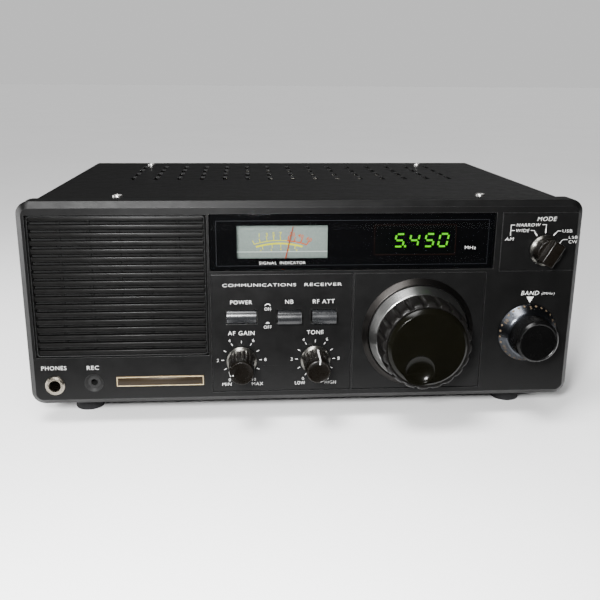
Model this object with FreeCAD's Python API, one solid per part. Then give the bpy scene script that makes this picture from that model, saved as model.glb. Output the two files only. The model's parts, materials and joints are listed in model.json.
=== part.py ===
"""Table-top short-wave communications receiver, as an assembly of separate pieces.

Every piece is drawn in the panel frame: x to the right, y backwards from the front face, z up from the
underside of the front bezel. save() moves each piece to the row frame, whose origin is on the surface
that the feet stand on, under the middle of the receiver's box.
"""

import FreeCAD, Part
import math
import os

from FreeCAD import Vector

os.makedirs("parts", exist_ok=True)

# ---- driving dimensions, millimetres ----
# cabinet
width = 300.0
height = 111.6
bezel_depth = 14.0
bezel_wall = 3.0
bezel_corner = 7.0
bezel_chamfer = 3.2
cover_half_width = 146.5
cover_top = 109.5
cover_bottom = 2.0
cover_sheet = 1.2
cover_seam = 16.0
foot_height = 14.0
foot_radius = 9.0
ground_gap = foot_height - cover_bottom
cover_back = 216.0
rear_face = 213.7
rear_sheet = 1.5
rear_half_width = 145.0
rear_bottom = 4.0
rear_top = 107.5
inlet_split = -96.0
rear_inside = rear_face - rear_sheet - 0.1
sub_front = 7.0
sub_back = 8.2
seam = 0.15

# openings in the bezel: low x, high x, low z, high z
speaker_hole = (-145.2, -52.6, 27.3, 104.8)
window_hole = (-51.4, 101.9, 74.4, 105.0)
control_hole = (-51.2, 25.2, 5.8, 72.6)
tuning_hole = (26.0, 98.4, 5.8, 72.6)
mode_hole = (105.2, 147.0, 72.9, 105.0)

# plates, window and film behind the openings: front and back faces
plate_faces = (0.4, 2.6)
mode_plate_faces = (0.1, 2.6)
window_faces = (0.6, 3.0)
film_faces = (3.1, 3.5)
cloth_faces = (5.05, 5.5)

# holes in the film over the meter and the digits, and the badge: low x, high x, low z, high z
meter_view = (-36.8, 11.5, 80.5, 98.2)
digit_view = (37.2, 80.6, 82.3, 97.9)
badge_area = (-103.4, -55.8, 10.3, 16.1)
badge_rise = 0.7

# speaker grille
grille_back = 5.0
rib_count = 5
rib_pitch = 15.4
rib_half = 0.9
slat_count = 18
slat_pitch = 4.29
slat_height = 2.45
top_slat_z = 102.65

# control centres on the panel: x, z
tuning_at = (62.0, 38.4)
band_at = (123.5, 38.0)
mode_at = (129.3, 84.6)
gain_at = (-35.1, 24.2)
tone_at = (5.4, 24.2)
phones_at = (-136.3, 11.6)
recorder_at = (-115.5, 12.6)
speaker_at = (-99.0, 66.0)
meter_pivot = (-14.6, 62.6)

# controls
shaft_radius = 3.0
running_gap = 0.05
tuning_reach = 27.1
lug_count = 20
button_proud = 5.0
latched_in = 3.5
small_knob_reach = 20.5
mode_reach = 14.0
mode_bar_half = 3.7
knob_wall = 3.0
pointer_width = 0.8
gain_rest = -102.0
tone_rest = 8.0
mode_rest = 30.0
needle_rest = 13.0
button_height = 6.9
button_z = 48.75
power_x = (-42.8, -26.9)
noise_x = (-15.4, -2.6)
attenuator_x = (3.3, 16.2)

# reduction drive between the tuning knob and the capacitor: two equal stages
gear_module = 0.8
pressure_angle = 20.0
addendum = 0.7
dedendum = 1.0
tooth_play = 0.08
idler_spindle = 2.0
pinion_teeth = 12
wheel_teeth = 48
gear_centres = gear_module * (pinion_teeth + wheel_teeth) / 2.0
idler_at = (tuning_at[0] - gear_centres, tuning_at[1])
first_stage = (12.0, 15.0)
second_stage = (18.0, 21.0)
vane_count = 6
vane_pitch = 4.0
first_vane = 31.0
capacitor_rest = 81.0

# wire stand under the front: pivot is y, z
bail_pivot = (30.0, -2.5)
bail_half = 92.0
bail_length = 46.0
bail_wire = 2.0

# inside of the meter's case: low x, high x, low z, high z
meter_box = (-40.0, 14.6, 56.0, 102.0)

# a cut that runs right through the receiver from front to back
through = (-50.0, 260.0)

# case screws: head, shank and the clearance hole through every sheet
head_radius = 2.9
head_height = 1.7
shank_radius = 1.5
shank_length = 5.0
screw_clearance = 1.55

# rows of cooling slots in the top cover
vent_rows = (118.0, 140.0, 162.0, 184.0)
vent_count = 15
vent_pitch = 15.0
vent_half_width = 1.4
vent_half_length = 8.0

# cage behind the sub-panel
cage_half = 143.0
cage_sheet = 1.2
cage_front = 8.3
cage_bottom = 5.0
cage_top = 106.0
lip = 1.4
front_bar = (25.0, 35.0)
rear_bar_y = 190.0
rail_top = 66.0
tray_top = cage_bottom + cage_sheet
board_bottom = 19.0
board_top = 20.6

# tuning capacitor: outer faces of its end plates, their thickness and half width
capacitor_y = (25.6, 58.4)
end_plate = 1.4
capacitor_half = 23.0
vane_sheet = 0.8

# rear connectors
jack_half = 5.0
rear_jack_y = 198.0
socket_at = (112.0, 84.0)
socket_radius = 7.94
socket_length = 11.0

# the whole box runs from the tuning knob's face to the end of the aerial socket
row_shift = Vector(0.0, -(rear_face + socket_length + 1.0 - tuning_reach) / 2.0, ground_gap)


# ---- helpers ----
def save(name, *solids):
    """Write one node, a single solid or a group of separate ones, in the row frame."""
    shape = solids[0].copy() if len(solids) == 1 else Part.makeCompound(list(solids))
    if not shape.isValid() or not shape.Solids:
        raise RuntimeError(name + " is not a valid solid")
    shape.translate(row_shift)
    shape.exportStep("parts/" + name + ".step")
    print(name, len(shape.Solids), round(shape.Volume))


def box(x0, x1, y0, y1, z0, z1):
    return Part.makeBox(x1 - x0, y1 - y0, z1 - z0, Vector(x0, y0, z0))


def opening(area, y0, y1):
    """A box over an area given as low x, high x, low z, high z."""
    return box(area[0], area[1], y0, y1, area[2], area[3])


def rod(at, radius, y0, y1):
    """A cylinder that runs backwards through the panel point at."""
    return Part.makeCylinder(radius, y1 - y0, Vector(at[0], y0, at[1]), Vector(0, 1, 0))


def turned(at, outline):
    """A body turned about the axis through at: outline lists (radius, y)."""
    points = [Vector(at[0] + radius, y, at[1]) for radius, y in outline]
    face = Part.Face(Part.makePolygon(points + points[:1]))
    return face.revolve(Vector(at[0], 0, at[1]), Vector(0, 1, 0), 360)


def joined(shapes):
    shape = shapes[0].multiFuse(shapes[1:]) if len(shapes) > 1 else shapes[0]
    return shape.removeSplitter()


def around(shape, at, degrees):
    """A copy turned clockwise about the panel point at, as seen from the front."""
    copy = shape.copy()
    copy.rotate(Vector(at[0], 0, at[1]), Vector(0, 1, 0), degrees)
    return copy


def drilled(shape, places, radius):
    return shape.cut([rod(place, radius, *through) for place in places])


def edges_at(shape, test):
    return [edge for edge in shape.Edges if test(edge.BoundBox)]


def rounded_slab(half_width, z0, z1, y0, y1, corner):
    """A slab with rounded corners as seen from the front."""
    slab = box(-half_width, half_width, y0, y1, z0, z1)
    along_y = edges_at(slab, lambda b: b.YLength > 0.5 * (y1 - y0))
    return slab.makeFillet(corner, along_y)


def insert(hole, y0, y1):
    """A plate that fills a bezel opening with a fine seam all round."""
    return box(hole[0] + seam, hole[1] - seam, y0, y1, hole[2] + seam, hole[3] - seam)


# ---- front ----
def front_bezel():
    outer = rounded_slab(width / 2, 0, height, 0, bezel_depth, bezel_corner)
    front = edges_at(outer, lambda b: b.YMax < 0.01)
    outer = outer.makeChamfer(bezel_chamfer, front)
    inner = rounded_slab(width / 2 - 3.5, 3.2, height - 3.6, bezel_wall, bezel_depth + 1, bezel_corner - 3)
    shell = outer.cut(inner)
    holes = [speaker_hole, window_hole, control_hole, tuning_hole, mode_hole]
    shell = shell.cut([opening(hole, -1, bezel_wall + 1) for hole in holes])
    shell = drilled(shell, [band_at], 4.8)
    shell = drilled(shell, [phones_at], 5.3)
    return drilled(shell, [recorder_at], 5.0)


def speaker_grille():
    x0, x1, z0, z1 = speaker_hole
    rim = insert(speaker_hole, 1.2, grille_back)
    rim = rim.cut(box(x0 + 2.0, x1 - 2.0, 0, 6, z0 + 1.2, z1 - 1.2))
    pieces = [rim]
    for number in range(slat_count):
        z = top_slat_z - number * slat_pitch
        slat = box(x0 + 1.5, x1 - 1.5, 1.0, 4.2, z - slat_height / 2, z + slat_height / 2)
        front = edges_at(slat, lambda b: b.YMax < 1.01 and b.XLength > 50)
        pieces.append(slat.makeChamfer(0.5, front))
    first_rib = (x0 + x1 - (rib_count - 1) * rib_pitch) / 2
    for number in range(rib_count):
        x = first_rib + number * rib_pitch
        pieces.append(box(x - rib_half, x + rib_half, 3.4, grille_back, z0 + 0.6, z1 - 0.6))
    return joined(pieces)


def grille_cloth():
    return insert(speaker_hole, *cloth_faces)


def display_window():
    return insert(window_hole, *window_faces)


def display_mask():
    """The black printed film behind the window, open over the meter and the digits."""
    film = insert(window_hole, *film_faces)
    return film.cut([opening(meter_view, 3, 4), opening(digit_view, 3, 4)])


def button_hole(span, clearance):
    half = button_height / 2 + clearance
    return box(span[0] - clearance, span[1] + clearance, -1, 9, button_z - half, button_z + half)


def control_panel():
    plate = insert(control_hole, *plate_faces)
    for span in (power_x, noise_x, attenuator_x):
        plate = plate.cut(button_hole(span, 0.5))
    return drilled(plate, [gain_at, tone_at], 4.0)


def tuning_panel():
    return drilled(insert(tuning_hole, *plate_faces), [tuning_at], 5.4)


def mode_panel():
    return drilled(insert(mode_hole, *mode_plate_faces), [mode_at], 4.8)


def tuning_ring():
    """The fixed conical ring that the tuning knob sits in."""
    return turned(tuning_at, [(27.9, 0.4), (31.1, 0.4), (30.9, -0.1), (28.3, -2.6), (27.9, -2.6)])


def badge_plate():
    plate = opening(badge_area, -badge_rise, 0.0)
    return plate.makeFillet(0.25, edges_at(plate, lambda b: b.YMax < 0.01 - badge_rise))


def sub_panel():
    plate = box(-cage_half, cage_half, sub_front, sub_back, cage_bottom, cage_top)
    plate = drilled(plate, [speaker_at], 34.5)
    plate = plate.cut([box(-40.6, 15.2, 6, 9, 55.4, 102.6), box(33.5, 84.5, 6, 9, 78.5, 101.5)])
    for span in (power_x, noise_x, attenuator_x):
        plate = plate.cut(box(span[0] + 2.0, span[1] - 2.0, 6, 9, button_z - 2.6, button_z + 2.6))
    plate = drilled(plate, [gain_at, tone_at], 3.6)
    plate = drilled(plate, [mode_at, band_at], 4.6)
    plate = drilled(plate, [phones_at], 5.0)
    plate = drilled(plate, [recorder_at], 3.4)
    plate = drilled(plate, [idler_at], idler_spindle + running_gap)
    return drilled(plate, [tuning_at], 5.1)


# ---- case ----
def chassis():
    """The steel cage behind the sub-panel: tray, side rails, top bars, rear lips and board posts."""
    half = cage_half
    inner = half - cage_sheet
    members = [box(-half, half, cage_front, rear_inside, cage_bottom, tray_top)]
    for low, high in ((-half, -inner), (inner, half)):
        members.append(box(low, high, cage_front, rear_inside, tray_top, rail_top))
        members.append(box(low, high, *front_bar, rail_top, cage_top))
        members.append(box(low, high, rear_bar_y, rear_inside, rail_top, cage_top))
    members.append(box(-half, half, *front_bar, cage_top - lip, cage_top))
    members.append(box(-half, half, rear_bar_y, rear_inside, cage_top - lip, cage_top))
    members.append(box(-half, half, rear_inside - cage_sheet, rear_inside, tray_top, 19))
    members.append(box(-half, half, rear_inside - cage_sheet, rear_inside, 97.5, cage_top))
    for x in (-55, 132):
        for y in (90, 198):
            members.append(Part.makeCylinder(3.0, board_bottom - tray_top, Vector(x, y, tray_top)))
    return screw_holes(joined(members))


def vent_slots():
    slots = []
    for y in vent_rows:
        for number in range(vent_count):
            x = (number - (vent_count - 1) / 2) * vent_pitch
            slots.append(box(x - vent_half_width, x + vent_half_width, y - vent_half_length,
                             y + vent_half_length, cover_top - 3, cover_top + 1))
    return slots


def screw_places():
    """Head seats of the case screws: point on the surface and outward direction."""
    top = [(Vector(x, y, cover_top), Vector(0, 0, 1)) for y in (30.0, 196.0) for x in (-102.0, 101.0)]
    side = []
    for sign in (-1, 1):
        for y in (40.0, 190.0):
            side.append((Vector(sign * cover_half_width, y, 60), Vector(sign, 0, 0)))
            side.append((Vector(sign * cover_half_width, y, 9), Vector(sign, 0, 0)))
    rear = []
    for x in (-136.0, 0.0, 136.0):
        rear.append((Vector(x, rear_face, 12), Vector(0, 1, 0)))
        rear.append((Vector(x, rear_face, 101), Vector(0, 1, 0)))
    return top + side + rear


def screw(seat, outward):
    """A pan-head screw with a cross recess."""
    head = Part.makeCylinder(head_radius, head_height, seat, outward)
    rim = edges_at(head, lambda b: (b.Center - seat).dot(outward) > head_height - 0.1)
    head = head.makeFillet(0.8, [edge for edge in rim if edge.Length > 10])
    shank = Part.makeCylinder(shank_radius, shank_length, seat - outward * shank_length, outward)
    across = Vector(outward.y, outward.z, outward.x)
    recess = []
    for direction in (across, outward.cross(across)):
        third = outward.cross(direction)
        corner = seat + outward * 0.8 - direction * 1.8 - third * 0.35
        slot = Part.makePolygon([corner, corner + direction * 3.6, corner + direction * 3.6 + third * 0.7,
                                 corner + third * 0.7, corner])
        recess.append(Part.Face(slot).extrude(outward * 2))
    return joined([head, shank]).cut(recess)


def cover_screws():
    return [screw(seat, outward) for seat, outward in screw_places()]


def screw_holes(shape):
    tools = []
    for seat, outward in screw_places():
        tools.append(Part.makeCylinder(screw_clearance, 12.0, seat - outward * 6.0, outward))
    return shape.cut(tools)


def top_cover():
    outer = box(-cover_half_width, cover_half_width, bezel_depth, cover_back, cover_seam, cover_top)
    outer = outer.makeFillet(2.5, edges_at(outer, lambda b: b.YLength > 100 and b.ZMin > 100))
    inside = cover_half_width - cover_sheet
    inner = box(-inside, inside, *through, cover_seam - 1, cover_top - cover_sheet)
    inner = inner.makeFillet(1.3, edges_at(inner, lambda b: b.YLength > 100 and b.ZMin > 100))
    return screw_holes(outer.cut(inner).cut(vent_slots()))


def bottom_cover():
    outer = box(-cover_half_width, cover_half_width, bezel_depth, cover_back, cover_bottom, cover_seam - 0.2)
    outer = outer.makeFillet(2.5, edges_at(outer, lambda b: b.YLength > 100 and b.ZMax < 3))
    inside = cover_half_width - cover_sheet
    inner = box(-inside, inside, *through, cover_bottom + cover_sheet, cover_seam + 1)
    inner = inner.makeFillet(1.3, edges_at(inner, lambda b: b.YLength > 100 and b.ZMax < 4))
    return screw_holes(outer.cut(inner))


def rear_plate(x0, x1):
    return box(x0, x1, rear_face - rear_sheet, rear_face, rear_bottom, rear_top)


def rear_panel():
    """The steel panel with the signal sockets; the mains inlet's own plate stands beside it."""
    plate = rear_plate(inlet_split + seam, rear_half_width)
    plate = drilled(plate, [socket_at], 6.0)
    plate = drilled(plate, rear_jack_places(), 3.1)
    return screw_holes(plate)


def foot(x, y):
    bottom = -ground_gap
    body = Part.makeCone(foot_radius - 1.0, foot_radius, foot_height, Vector(x, y, bottom))
    return body.makeFillet(1.0, edges_at(body, lambda b: b.ZMax < bottom + 0.01))


def rubber_feet():
    return [foot(x, y) for y in (28.0, 196.0) for x in (-124.0, 124.0)]


def tilt_bail():
    """A bent wire stand, folded back flat under the case."""
    y0, z0 = bail_pivot
    corner = 8.0
    y1 = y0 + bail_length
    inner = bail_half - corner
    root = math.sqrt(0.5)
    tip = bail_half + 11.0
    start = 5.0
    points = [Vector(-tip, y0, z0), Vector(-bail_half - start, y0, z0),
              Vector(-bail_half, y0 + start, z0), Vector(-bail_half, y1 - corner, z0),
              Vector(-inner, y1, z0), Vector(inner, y1, z0),
              Vector(bail_half, y1 - corner, z0), Vector(bail_half, y0 + start, z0),
              Vector(bail_half + start, y0, z0), Vector(tip, y0, z0)]
    slope = 1 - root
    bends = {1: Vector(-bail_half - start * slope, y0 + start * slope, z0),
             3: Vector(-bail_half + corner * slope, y1 - corner * slope, z0),
             5: Vector(bail_half - corner * slope, y1 - corner * slope, z0),
             7: Vector(bail_half + start * slope, y0 + start * slope, z0)}
    edges = []
    for index in range(len(points) - 1):
        if index in bends:
            edges.append(Part.Arc(points[index], bends[index], points[index + 1]).toShape())
        else:
            edges.append(Part.LineSegment(points[index], points[index + 1]).toShape())
    section = Part.Wire([Part.makeCircle(bail_wire, points[0], Vector(1, 0, 0))])
    return Part.Wire(edges).makePipeShell([section], True, True)


def bail_clips():
    clips = []
    y0, z0 = bail_pivot
    for sign in (-1, 1):
        low, high = sorted((sign * (bail_half + 5.5), sign * (bail_half + 13.5)))
        clip = box(low, high, y0 - 4.5, y0 + 4.5, z0 - 4.0, cover_bottom)
        clip = clip.makeFillet(1.5, edges_at(clip, lambda b: b.XLength > 5 and b.ZMax < z0))
        end = Vector(sign * (bail_half + 4), y0, z0)
        clips.append(clip.cut(Part.makeCylinder(bail_wire + running_gap, 7.5, end, Vector(sign, 0, 0))))
    return clips


# ---- knobs and shafts ----
def tuning_skirt():
    """Aluminium hub with the bright flange that shows round the grip."""
    return turned(tuning_at, [(shaft_radius, -21.0), (9.0, -21.0), (9.0, -9.0), (25.1, -9.3),
                              (27.4, -2.8), (27.4, -0.6), (26.0, -0.4), (shaft_radius, -0.4)])


def tuning_grip():
    """Rubber sleeve with narrow notches between its lugs."""
    sleeve = turned(tuning_at, [(9.0, -9.3), (24.6, -9.4), (24.3, -21.5), (23.4, -24.0), (21.6, -25.2),
                                (21.6, -21.2), (9.0, -21.2)])
    flute = Part.makeCylinder(1.6, 12.0, Vector(tuning_at[0], -21.6, tuning_at[1] + 25.4), Vector(0, 1, 0))
    flutes = [around(flute, tuning_at, (number + 1 / 3) * 360.0 / lug_count) for number in range(lug_count)]
    return sleeve.cut(flutes)


def tuning_cap():
    """Front disc with a round finger dimple."""
    disc = turned(tuning_at, [(0, -21.3), (21.4, -21.3), (21.4, -25.6), (20.0, -tuning_reach),
                              (0, -tuning_reach)])
    ball = 13.0
    depth = 2.8
    centre = Vector(tuning_at[0] - 4.1, -tuning_reach - ball + depth, tuning_at[1] - 11.4)
    return disc.cut(Part.makeSphere(ball, centre))


def gear(at, teeth, y0, y1, phase):
    """A spur gear with involute flanks. phase turns its first tooth clockwise from straight up."""
    pressure = math.radians(pressure_angle)
    pitch = gear_module * teeth / 2.0
    base = pitch * math.cos(pressure)
    tip = pitch + addendum * gear_module
    root = pitch - dedendum * gear_module
    involute = math.tan(pressure) - pressure
    half_tooth = math.pi / (2 * teeth) - tooth_play / (2 * pitch)

    def flank(radius):
        angle = math.acos(min(1.0, base / radius))
        return half_tooth + involute - (math.tan(angle) - angle)

    start = max(base, root)
    radii = [start + (tip - start) * step / 3.0 for step in range(4)]
    rising = [(root, flank(start))] if root < base else []
    rising += [(radius, flank(radius)) for radius in radii]
    points = []
    for tooth in range(teeth):
        middle = math.radians(phase) + 2 * math.pi * tooth / teeth
        profile = [(r, middle - a) for r, a in rising] + [(r, middle + a) for r, a in reversed(rising)]
        for radius, angle in profile:
            points.append(Vector(at[0] + radius * math.sin(angle), y0, at[1] + radius * math.cos(angle)))
    face = Part.Face(Part.makePolygon(points + points[:1]))
    return face.extrude(Vector(0, y1 - y0, 0))


def tuning_shaft():
    """Steel shaft with its own pinion; one tooth points at the idler."""
    pinion = gear(tuning_at, pinion_teeth, *first_stage, -90.0)
    return joined([rod(tuning_at, shaft_radius, -20.5, 16.5), pinion])


def idler_gear():
    """Wheel, pinion and spindle of the middle shaft. A gap of the wheel faces the tuning pinion."""
    wheel = gear(idler_at, wheel_teeth, *first_stage, 90.0 + 180.0 / wheel_teeth)
    pinion = gear(idler_at, pinion_teeth, *second_stage, 90.0)
    hub = rod(idler_at, 3.6, first_stage[1], second_stage[0])
    return joined([rod(idler_at, idler_spindle, sub_front, 25.3), wheel, hub, pinion])


def rotor_gear():
    wheel = gear(tuning_at, wheel_teeth, *second_stage, -90.0 + 180.0 / wheel_teeth)
    hub = rod(tuning_at, 7.0, second_stage[1], second_stage[1] + 2.4)
    return joined([wheel, hub]).cut(rod(tuning_at, shaft_radius, 10, 40))


def tuning_bushing():
    return turned(tuning_at, [(shaft_radius + running_gap, 2.9), (5.0, 2.9), (5.0, 6.9), (5.0, 8.2),
                              (7.0, 8.2), (7.0, 11.0), (shaft_radius + running_gap, 11.0)])


def gear_plate():
    """Rear bearing plate of the drive, on four posts from the sub-panel."""
    plate = box(15.8, 88, 24, 25.5, 10, 66)
    plate = drilled(plate, [idler_at], idler_spindle + running_gap)
    plate = drilled(plate, [tuning_at], shaft_radius + running_gap)
    posts = [rod(place, 2.6, sub_back, 24) for place in ((19, 14), (19, 62), (84, 14), (84, 62))]
    return joined([plate] + posts)


def vane(radius, inner, y):
    """A half disc, flat side up."""
    disc = rod(tuning_at, radius, y, y + vane_sheet)
    x, z = tuning_at
    disc = disc.cut(box(x - 30, x + 30, y - 1, y + 2, z, z + 30))
    return disc.cut(rod(tuning_at, inner, y - 1, y + 2))


def capacitor_rotor():
    """Shaft with half-round vanes, part way into the stator."""
    vanes = [vane(16.5, 1.0, first_vane + number * vane_pitch) for number in range(vane_count)]
    vanes = [around(shape, tuning_at, capacitor_rest) for shape in vanes]
    spacer = rod(tuning_at, 4.2, first_vane - 1.2, first_vane + vane_pitch * (vane_count - 1) + 2)
    return joined([rod(tuning_at, shaft_radius, 17.2, 58.5), spacer] + vanes)


def capacitor_frame():
    """End plates, base bar and the fixed vanes on their two rods."""
    x, z = tuning_at
    y0, y1 = capacitor_y
    low, high = x - capacitor_half, x + capacitor_half
    front = box(low, high, y0, y0 + end_plate, z - 22, z + 21)
    back = box(low, high, y1 - end_plate, y1, z - 22, z + 21)
    bar = box(low, high, y0, y1, z - 22, z - 20)
    plates = drilled(joined([front, back, bar]), [tuning_at], shaft_radius + running_gap)
    vanes = []
    for number in range(vane_count - 1):
        vanes.append(vane(19.5, 5.5, first_vane + vane_pitch / 2 + number * vane_pitch))
    rods = [rod((x + side * 18.4, z - 2.2), 1.1, 26.5, 57.5) for side in (-1, 1)]
    return joined([plates] + vanes + rods)


def small_knob(at, pointing, flutes=18):
    """A fluted knob with a skirt and a pointer groove."""
    body = turned(at, [(shaft_radius, -1.0), (8.3, -1.0), (8.3, -2.2), (7.0, -3.0), (6.8, -15.5),
                       (6.2, -small_knob_reach), (0, -small_knob_reach), (0, -16.0), (shaft_radius, -16.0)])
    flute = rod((at[0], at[1] + 7.6), 0.9, -16.0, -4.0)
    body = body.cut([around(flute, at, (number + 0.5) * 360.0 / flutes) for number in range(flutes)])
    half = pointer_width / 2
    groove = box(at[0] - half, at[0] + half, -30, -small_knob_reach + 0.4, at[1] + 2.6, at[1] + 9)
    return around(body.cut(groove), at, pointing)


def control_shaft(at, back):
    return rod(at, shaft_radius, -15.5, back)


def control_pot(at):
    body = turned(at, [(shaft_radius + running_gap, 2.8), (3.5, 2.8), (3.5, sub_back), (8.0, sub_back),
                       (8.0, 19.0), (0, 19.0), (0, 14.1), (shaft_radius + running_gap, 14.1)])
    return joined([body, box(at[0] - 6, at[0] + 6, 11, 13, at[1] - 12, at[1] - 7)])


def mode_knob():
    """A round base with a raised bar to turn it by."""
    at = mode_at
    base = turned(at, [(shaft_radius, -1.0), (8.5, -1.0), (8.5, -2.4), (7.0, -3.2), (6.7, -9.0),
                       (shaft_radius, -9.0)])
    bar = box(at[0] - mode_bar_half, at[0] + mode_bar_half, -mode_reach, -8.0, at[1] - 6.9, at[1] + 6.9)
    bar = bar.common(rod(at, 7.0, -mode_reach - 1, 0))
    bar = bar.cut(rod(at, shaft_radius, knob_wall - mode_reach, 0))
    return around(joined([base, bar]), at, mode_rest)


def rotary_switch(at, size, depth):
    body = box(at[0] - size, at[0] + size, sub_back, depth, at[1] - size, at[1] + size)
    body = body.makeFillet(2.0, edges_at(body, lambda b: b.YLength > 5))
    bushing = rod(at, 4.5, 2.9, sub_back)
    return joined([body, bushing]).cut(rod(at, shaft_radius + running_gap, 0, 14.1))


def band_dial():
    """Conical skirt that carries the band numbers."""
    return turned(band_at, [(shaft_radius, -0.8), (16.6, -0.8), (16.4, -1.6), (13.0, -6.0), (11.0, -6.4),
                            (shaft_radius, -6.4)])


def band_knob():
    outline = [(shaft_radius, -6.4), (11.4, -6.4), (11.9, -8.0), (11.9, -17.5), (11.0, -18.6),
               (10.4, -18.9), (0, -18.6), (0, -13.0), (shaft_radius, -13.0)]
    return turned(band_at, outline)


def push_button(span, press):
    """press is how far the button is latched in."""
    half = button_height / 2
    cap = box(span[0], span[1], press - button_proud, 3.4 + press, button_z - half, button_z + half)
    cap = cap.makeFillet(0.9, edges_at(cap, lambda b: b.YMax < press - button_proud + 0.01))
    stem = box(span[0] + 3.0, span[1] - 3.0, 3.4 + press, 8.6 + press, button_z - 1.9, button_z + 1.9)
    return joined([cap, stem])


def push_switches():
    """Three latching switch bodies behind the sub-panel, each open for its button's stem."""
    bodies = []
    for span in (power_x, noise_x, attenuator_x):
        body = box(span[0] + 1.0, span[1] - 1.0, sub_back, 26.0, button_z - 4.0, button_z + 4.0)
        bodies.append(body.cut(box(span[0] + 2.9, span[1] - 2.9, 0, 13.0, button_z - 2.0, button_z + 2.0)))
    return bodies


# ---- jacks ----
def phones_jack():
    """Quarter-inch jack with a plated nose."""
    body = box(phones_at[0] - 5.2, phones_at[0] + 7, sub_back, 34, phones_at[1] - 5, phones_at[1] + 9)
    nose = turned(phones_at, [(0, -1.6), (4.3, -1.6), (5.2, -0.9), (5.2, 3.0), (4.8, 3.0),
                              (4.8, sub_back), (0, sub_back)])
    return joined([body, nose]).cut(rod(phones_at, 3.25, -3, 30))


def recorder_jack():
    """Miniature jack set back in a black collar."""
    body = box(recorder_at[0] - 5, recorder_at[0] + 5, sub_back, 22, recorder_at[1] - 5, recorder_at[1] + 5)
    nose = turned(recorder_at, [(0, 1.2), (3.4, 1.2), (4.8, -0.4), (4.9, -0.4), (4.9, 2.9), (3.3, 2.9),
                                (3.3, sub_back), (0, sub_back)])
    return joined([body, nose]).cut(rod(recorder_at, 1.8, -3, 18))


def rear_jack_places():
    """Loudspeaker and remote-control sockets: x, z."""
    return [(-78.0, 38.0), (-54.0, 38.0)]


def rear_jacks():
    jacks = []
    for at in rear_jack_places():
        area = (at[0] - jack_half, at[0] + jack_half, at[1] - jack_half, at[1] + jack_half)
        body = opening(area, rear_jack_y, rear_face - rear_sheet)
        collar = rear_face + 1.5
        nose = turned(at, [(0, 212), (3.0, 212), (3.0, rear_face), (4.6, rear_face),
                           (4.6, collar), (0, collar)])
        jacks.append(joined([body, nose]).cut(rod(at, 1.8, rear_jack_y + 3, 220)))
    return jacks


def aerial_socket():
    """Coaxial socket with a square flange and a threaded barrel."""
    x, z = socket_at
    flange = box(x - 12.7, x + 12.7, rear_face, rear_face + 2.0, z - 12.7, z + 12.7)
    flange = flange.makeFillet(2.0, edges_at(flange, lambda b: b.YLength > 1))
    end = rear_face + socket_length + 1.0
    barrel = rod(socket_at, socket_radius, rear_face + 1, end)
    tail = rod(socket_at, 5.8, 200, rear_face + 1)
    return joined([flange, barrel, tail]).cut(rod(socket_at, 2.0, end - 9.0, end + 1))


def wire_terminals():
    """Two rows of push terminals for wire aerials and earth."""
    blocks = []
    for x in (30.0, 62.0):
        block = box(x - 12, x + 12, rear_face, rear_face + 7.0, 74, 94)
        block = block.makeFillet(1.5, edges_at(block, lambda b: b.YMin > rear_face + 6.9))
        holes = [rod((x + side * 6, 80), 1.6, rear_face + 3, 260) for side in (-1, 1)]
        blocks.append(block.cut(holes))
    return blocks


def mains_inlet():
    """Two-pin inlet in a rectangular shroud, moulded with its end of the rear panel."""
    plate = rear_plate(-rear_half_width, inlet_split - seam)
    body = box(-130.6, -101.4, 196, rear_face, 26.4, 49.6)
    flange = box(-134, -98, rear_face, rear_face + 2.5, 23, 53)
    flange = flange.makeFillet(2.0, edges_at(flange, lambda b: b.YLength > 1))
    shell = joined([plate, body, flange]).cut(box(-127.5, -104.5, 199, 220, 30.5, 45.5))
    pins = [rod((x, 38), 1.5, 198.5, rear_face + 0.5) for x in (-121.0, -111.0)]
    return screw_holes(joined([shell] + pins))


# ---- meter and digits ----
def meter_case():
    x0, x1, z0, z1 = meter_box
    shell = box(x0, x1, 4.2, 30, z0, z1)
    shell = shell.cut(box(x0 + 1.2, x1 - 1.2, 4, 28.8, z0 + 1.2, z1 - 1.2))
    magnet = rod(meter_pivot, 4.8, 12.5, 28.8)
    movement = joined([shell, magnet])
    return movement.cut(rod(meter_pivot, 0.8 + running_gap, 10, 24.6))


def meter_scale():
    x0, x1, z0, z1 = meter_box
    plate = box(x0 + 1.25, x1 - 1.25, 9.0, 9.5, z0 + 1.25, z1 - 1.25)
    return drilled(plate, [meter_pivot], 1.5)


def meter_needle():
    """Pointer with a counterweight on its pivot staff."""
    x, z = meter_pivot
    blade = box(x - 0.35, x + 0.35, 7.0, 7.5, z - 4, z + 35.5)
    weight = box(x - 1.6, x + 1.6, 7.0, 8.0, z - 4.4, z - 2.0)
    hub = rod(meter_pivot, 2.2, 6.6, 8.4)
    staff = rod(meter_pivot, 0.8, 6.2, 24.0)
    return around(joined([blade, weight, hub, staff]), meter_pivot, needle_rest)


def display_tube():
    """Flat glass envelope of the digit tube, with its row of leads."""
    glass = box(36, 82, 5.2, 10.6, 80.4, 100)
    glass = glass.makeFillet(1.2, edges_at(glass, lambda b: b.YLength > 1 or b.YMax < 5.3))
    leads = [rod((39.0 + number * 4.0, 81.6), 0.35, 10.0, 13.0) for number in range(11)]
    return joined([glass] + leads)


def display_board():
    board = box(30, 108, 13.0, 14.6, 76.5, 104)
    chips = [box(x, x + 18, 14.6, 18.6, 84, 91) for x in (36, 62, 86)]
    return joined([board] + chips)


# ---- loudspeaker and inner works ----
def speaker_frame():
    """Basket, magnet and back plate, open in front for the cone."""
    return turned(speaker_at, [(30.6, 8.25), (38.5, 8.25), (38.5, 10.0), (33.0, 10.6), (20.0, 27.0),
                               (20.0, 40.0), (0, 40.0), (0, 26.0), (17.4, 26.0), (30.6, 10.4)])


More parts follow.
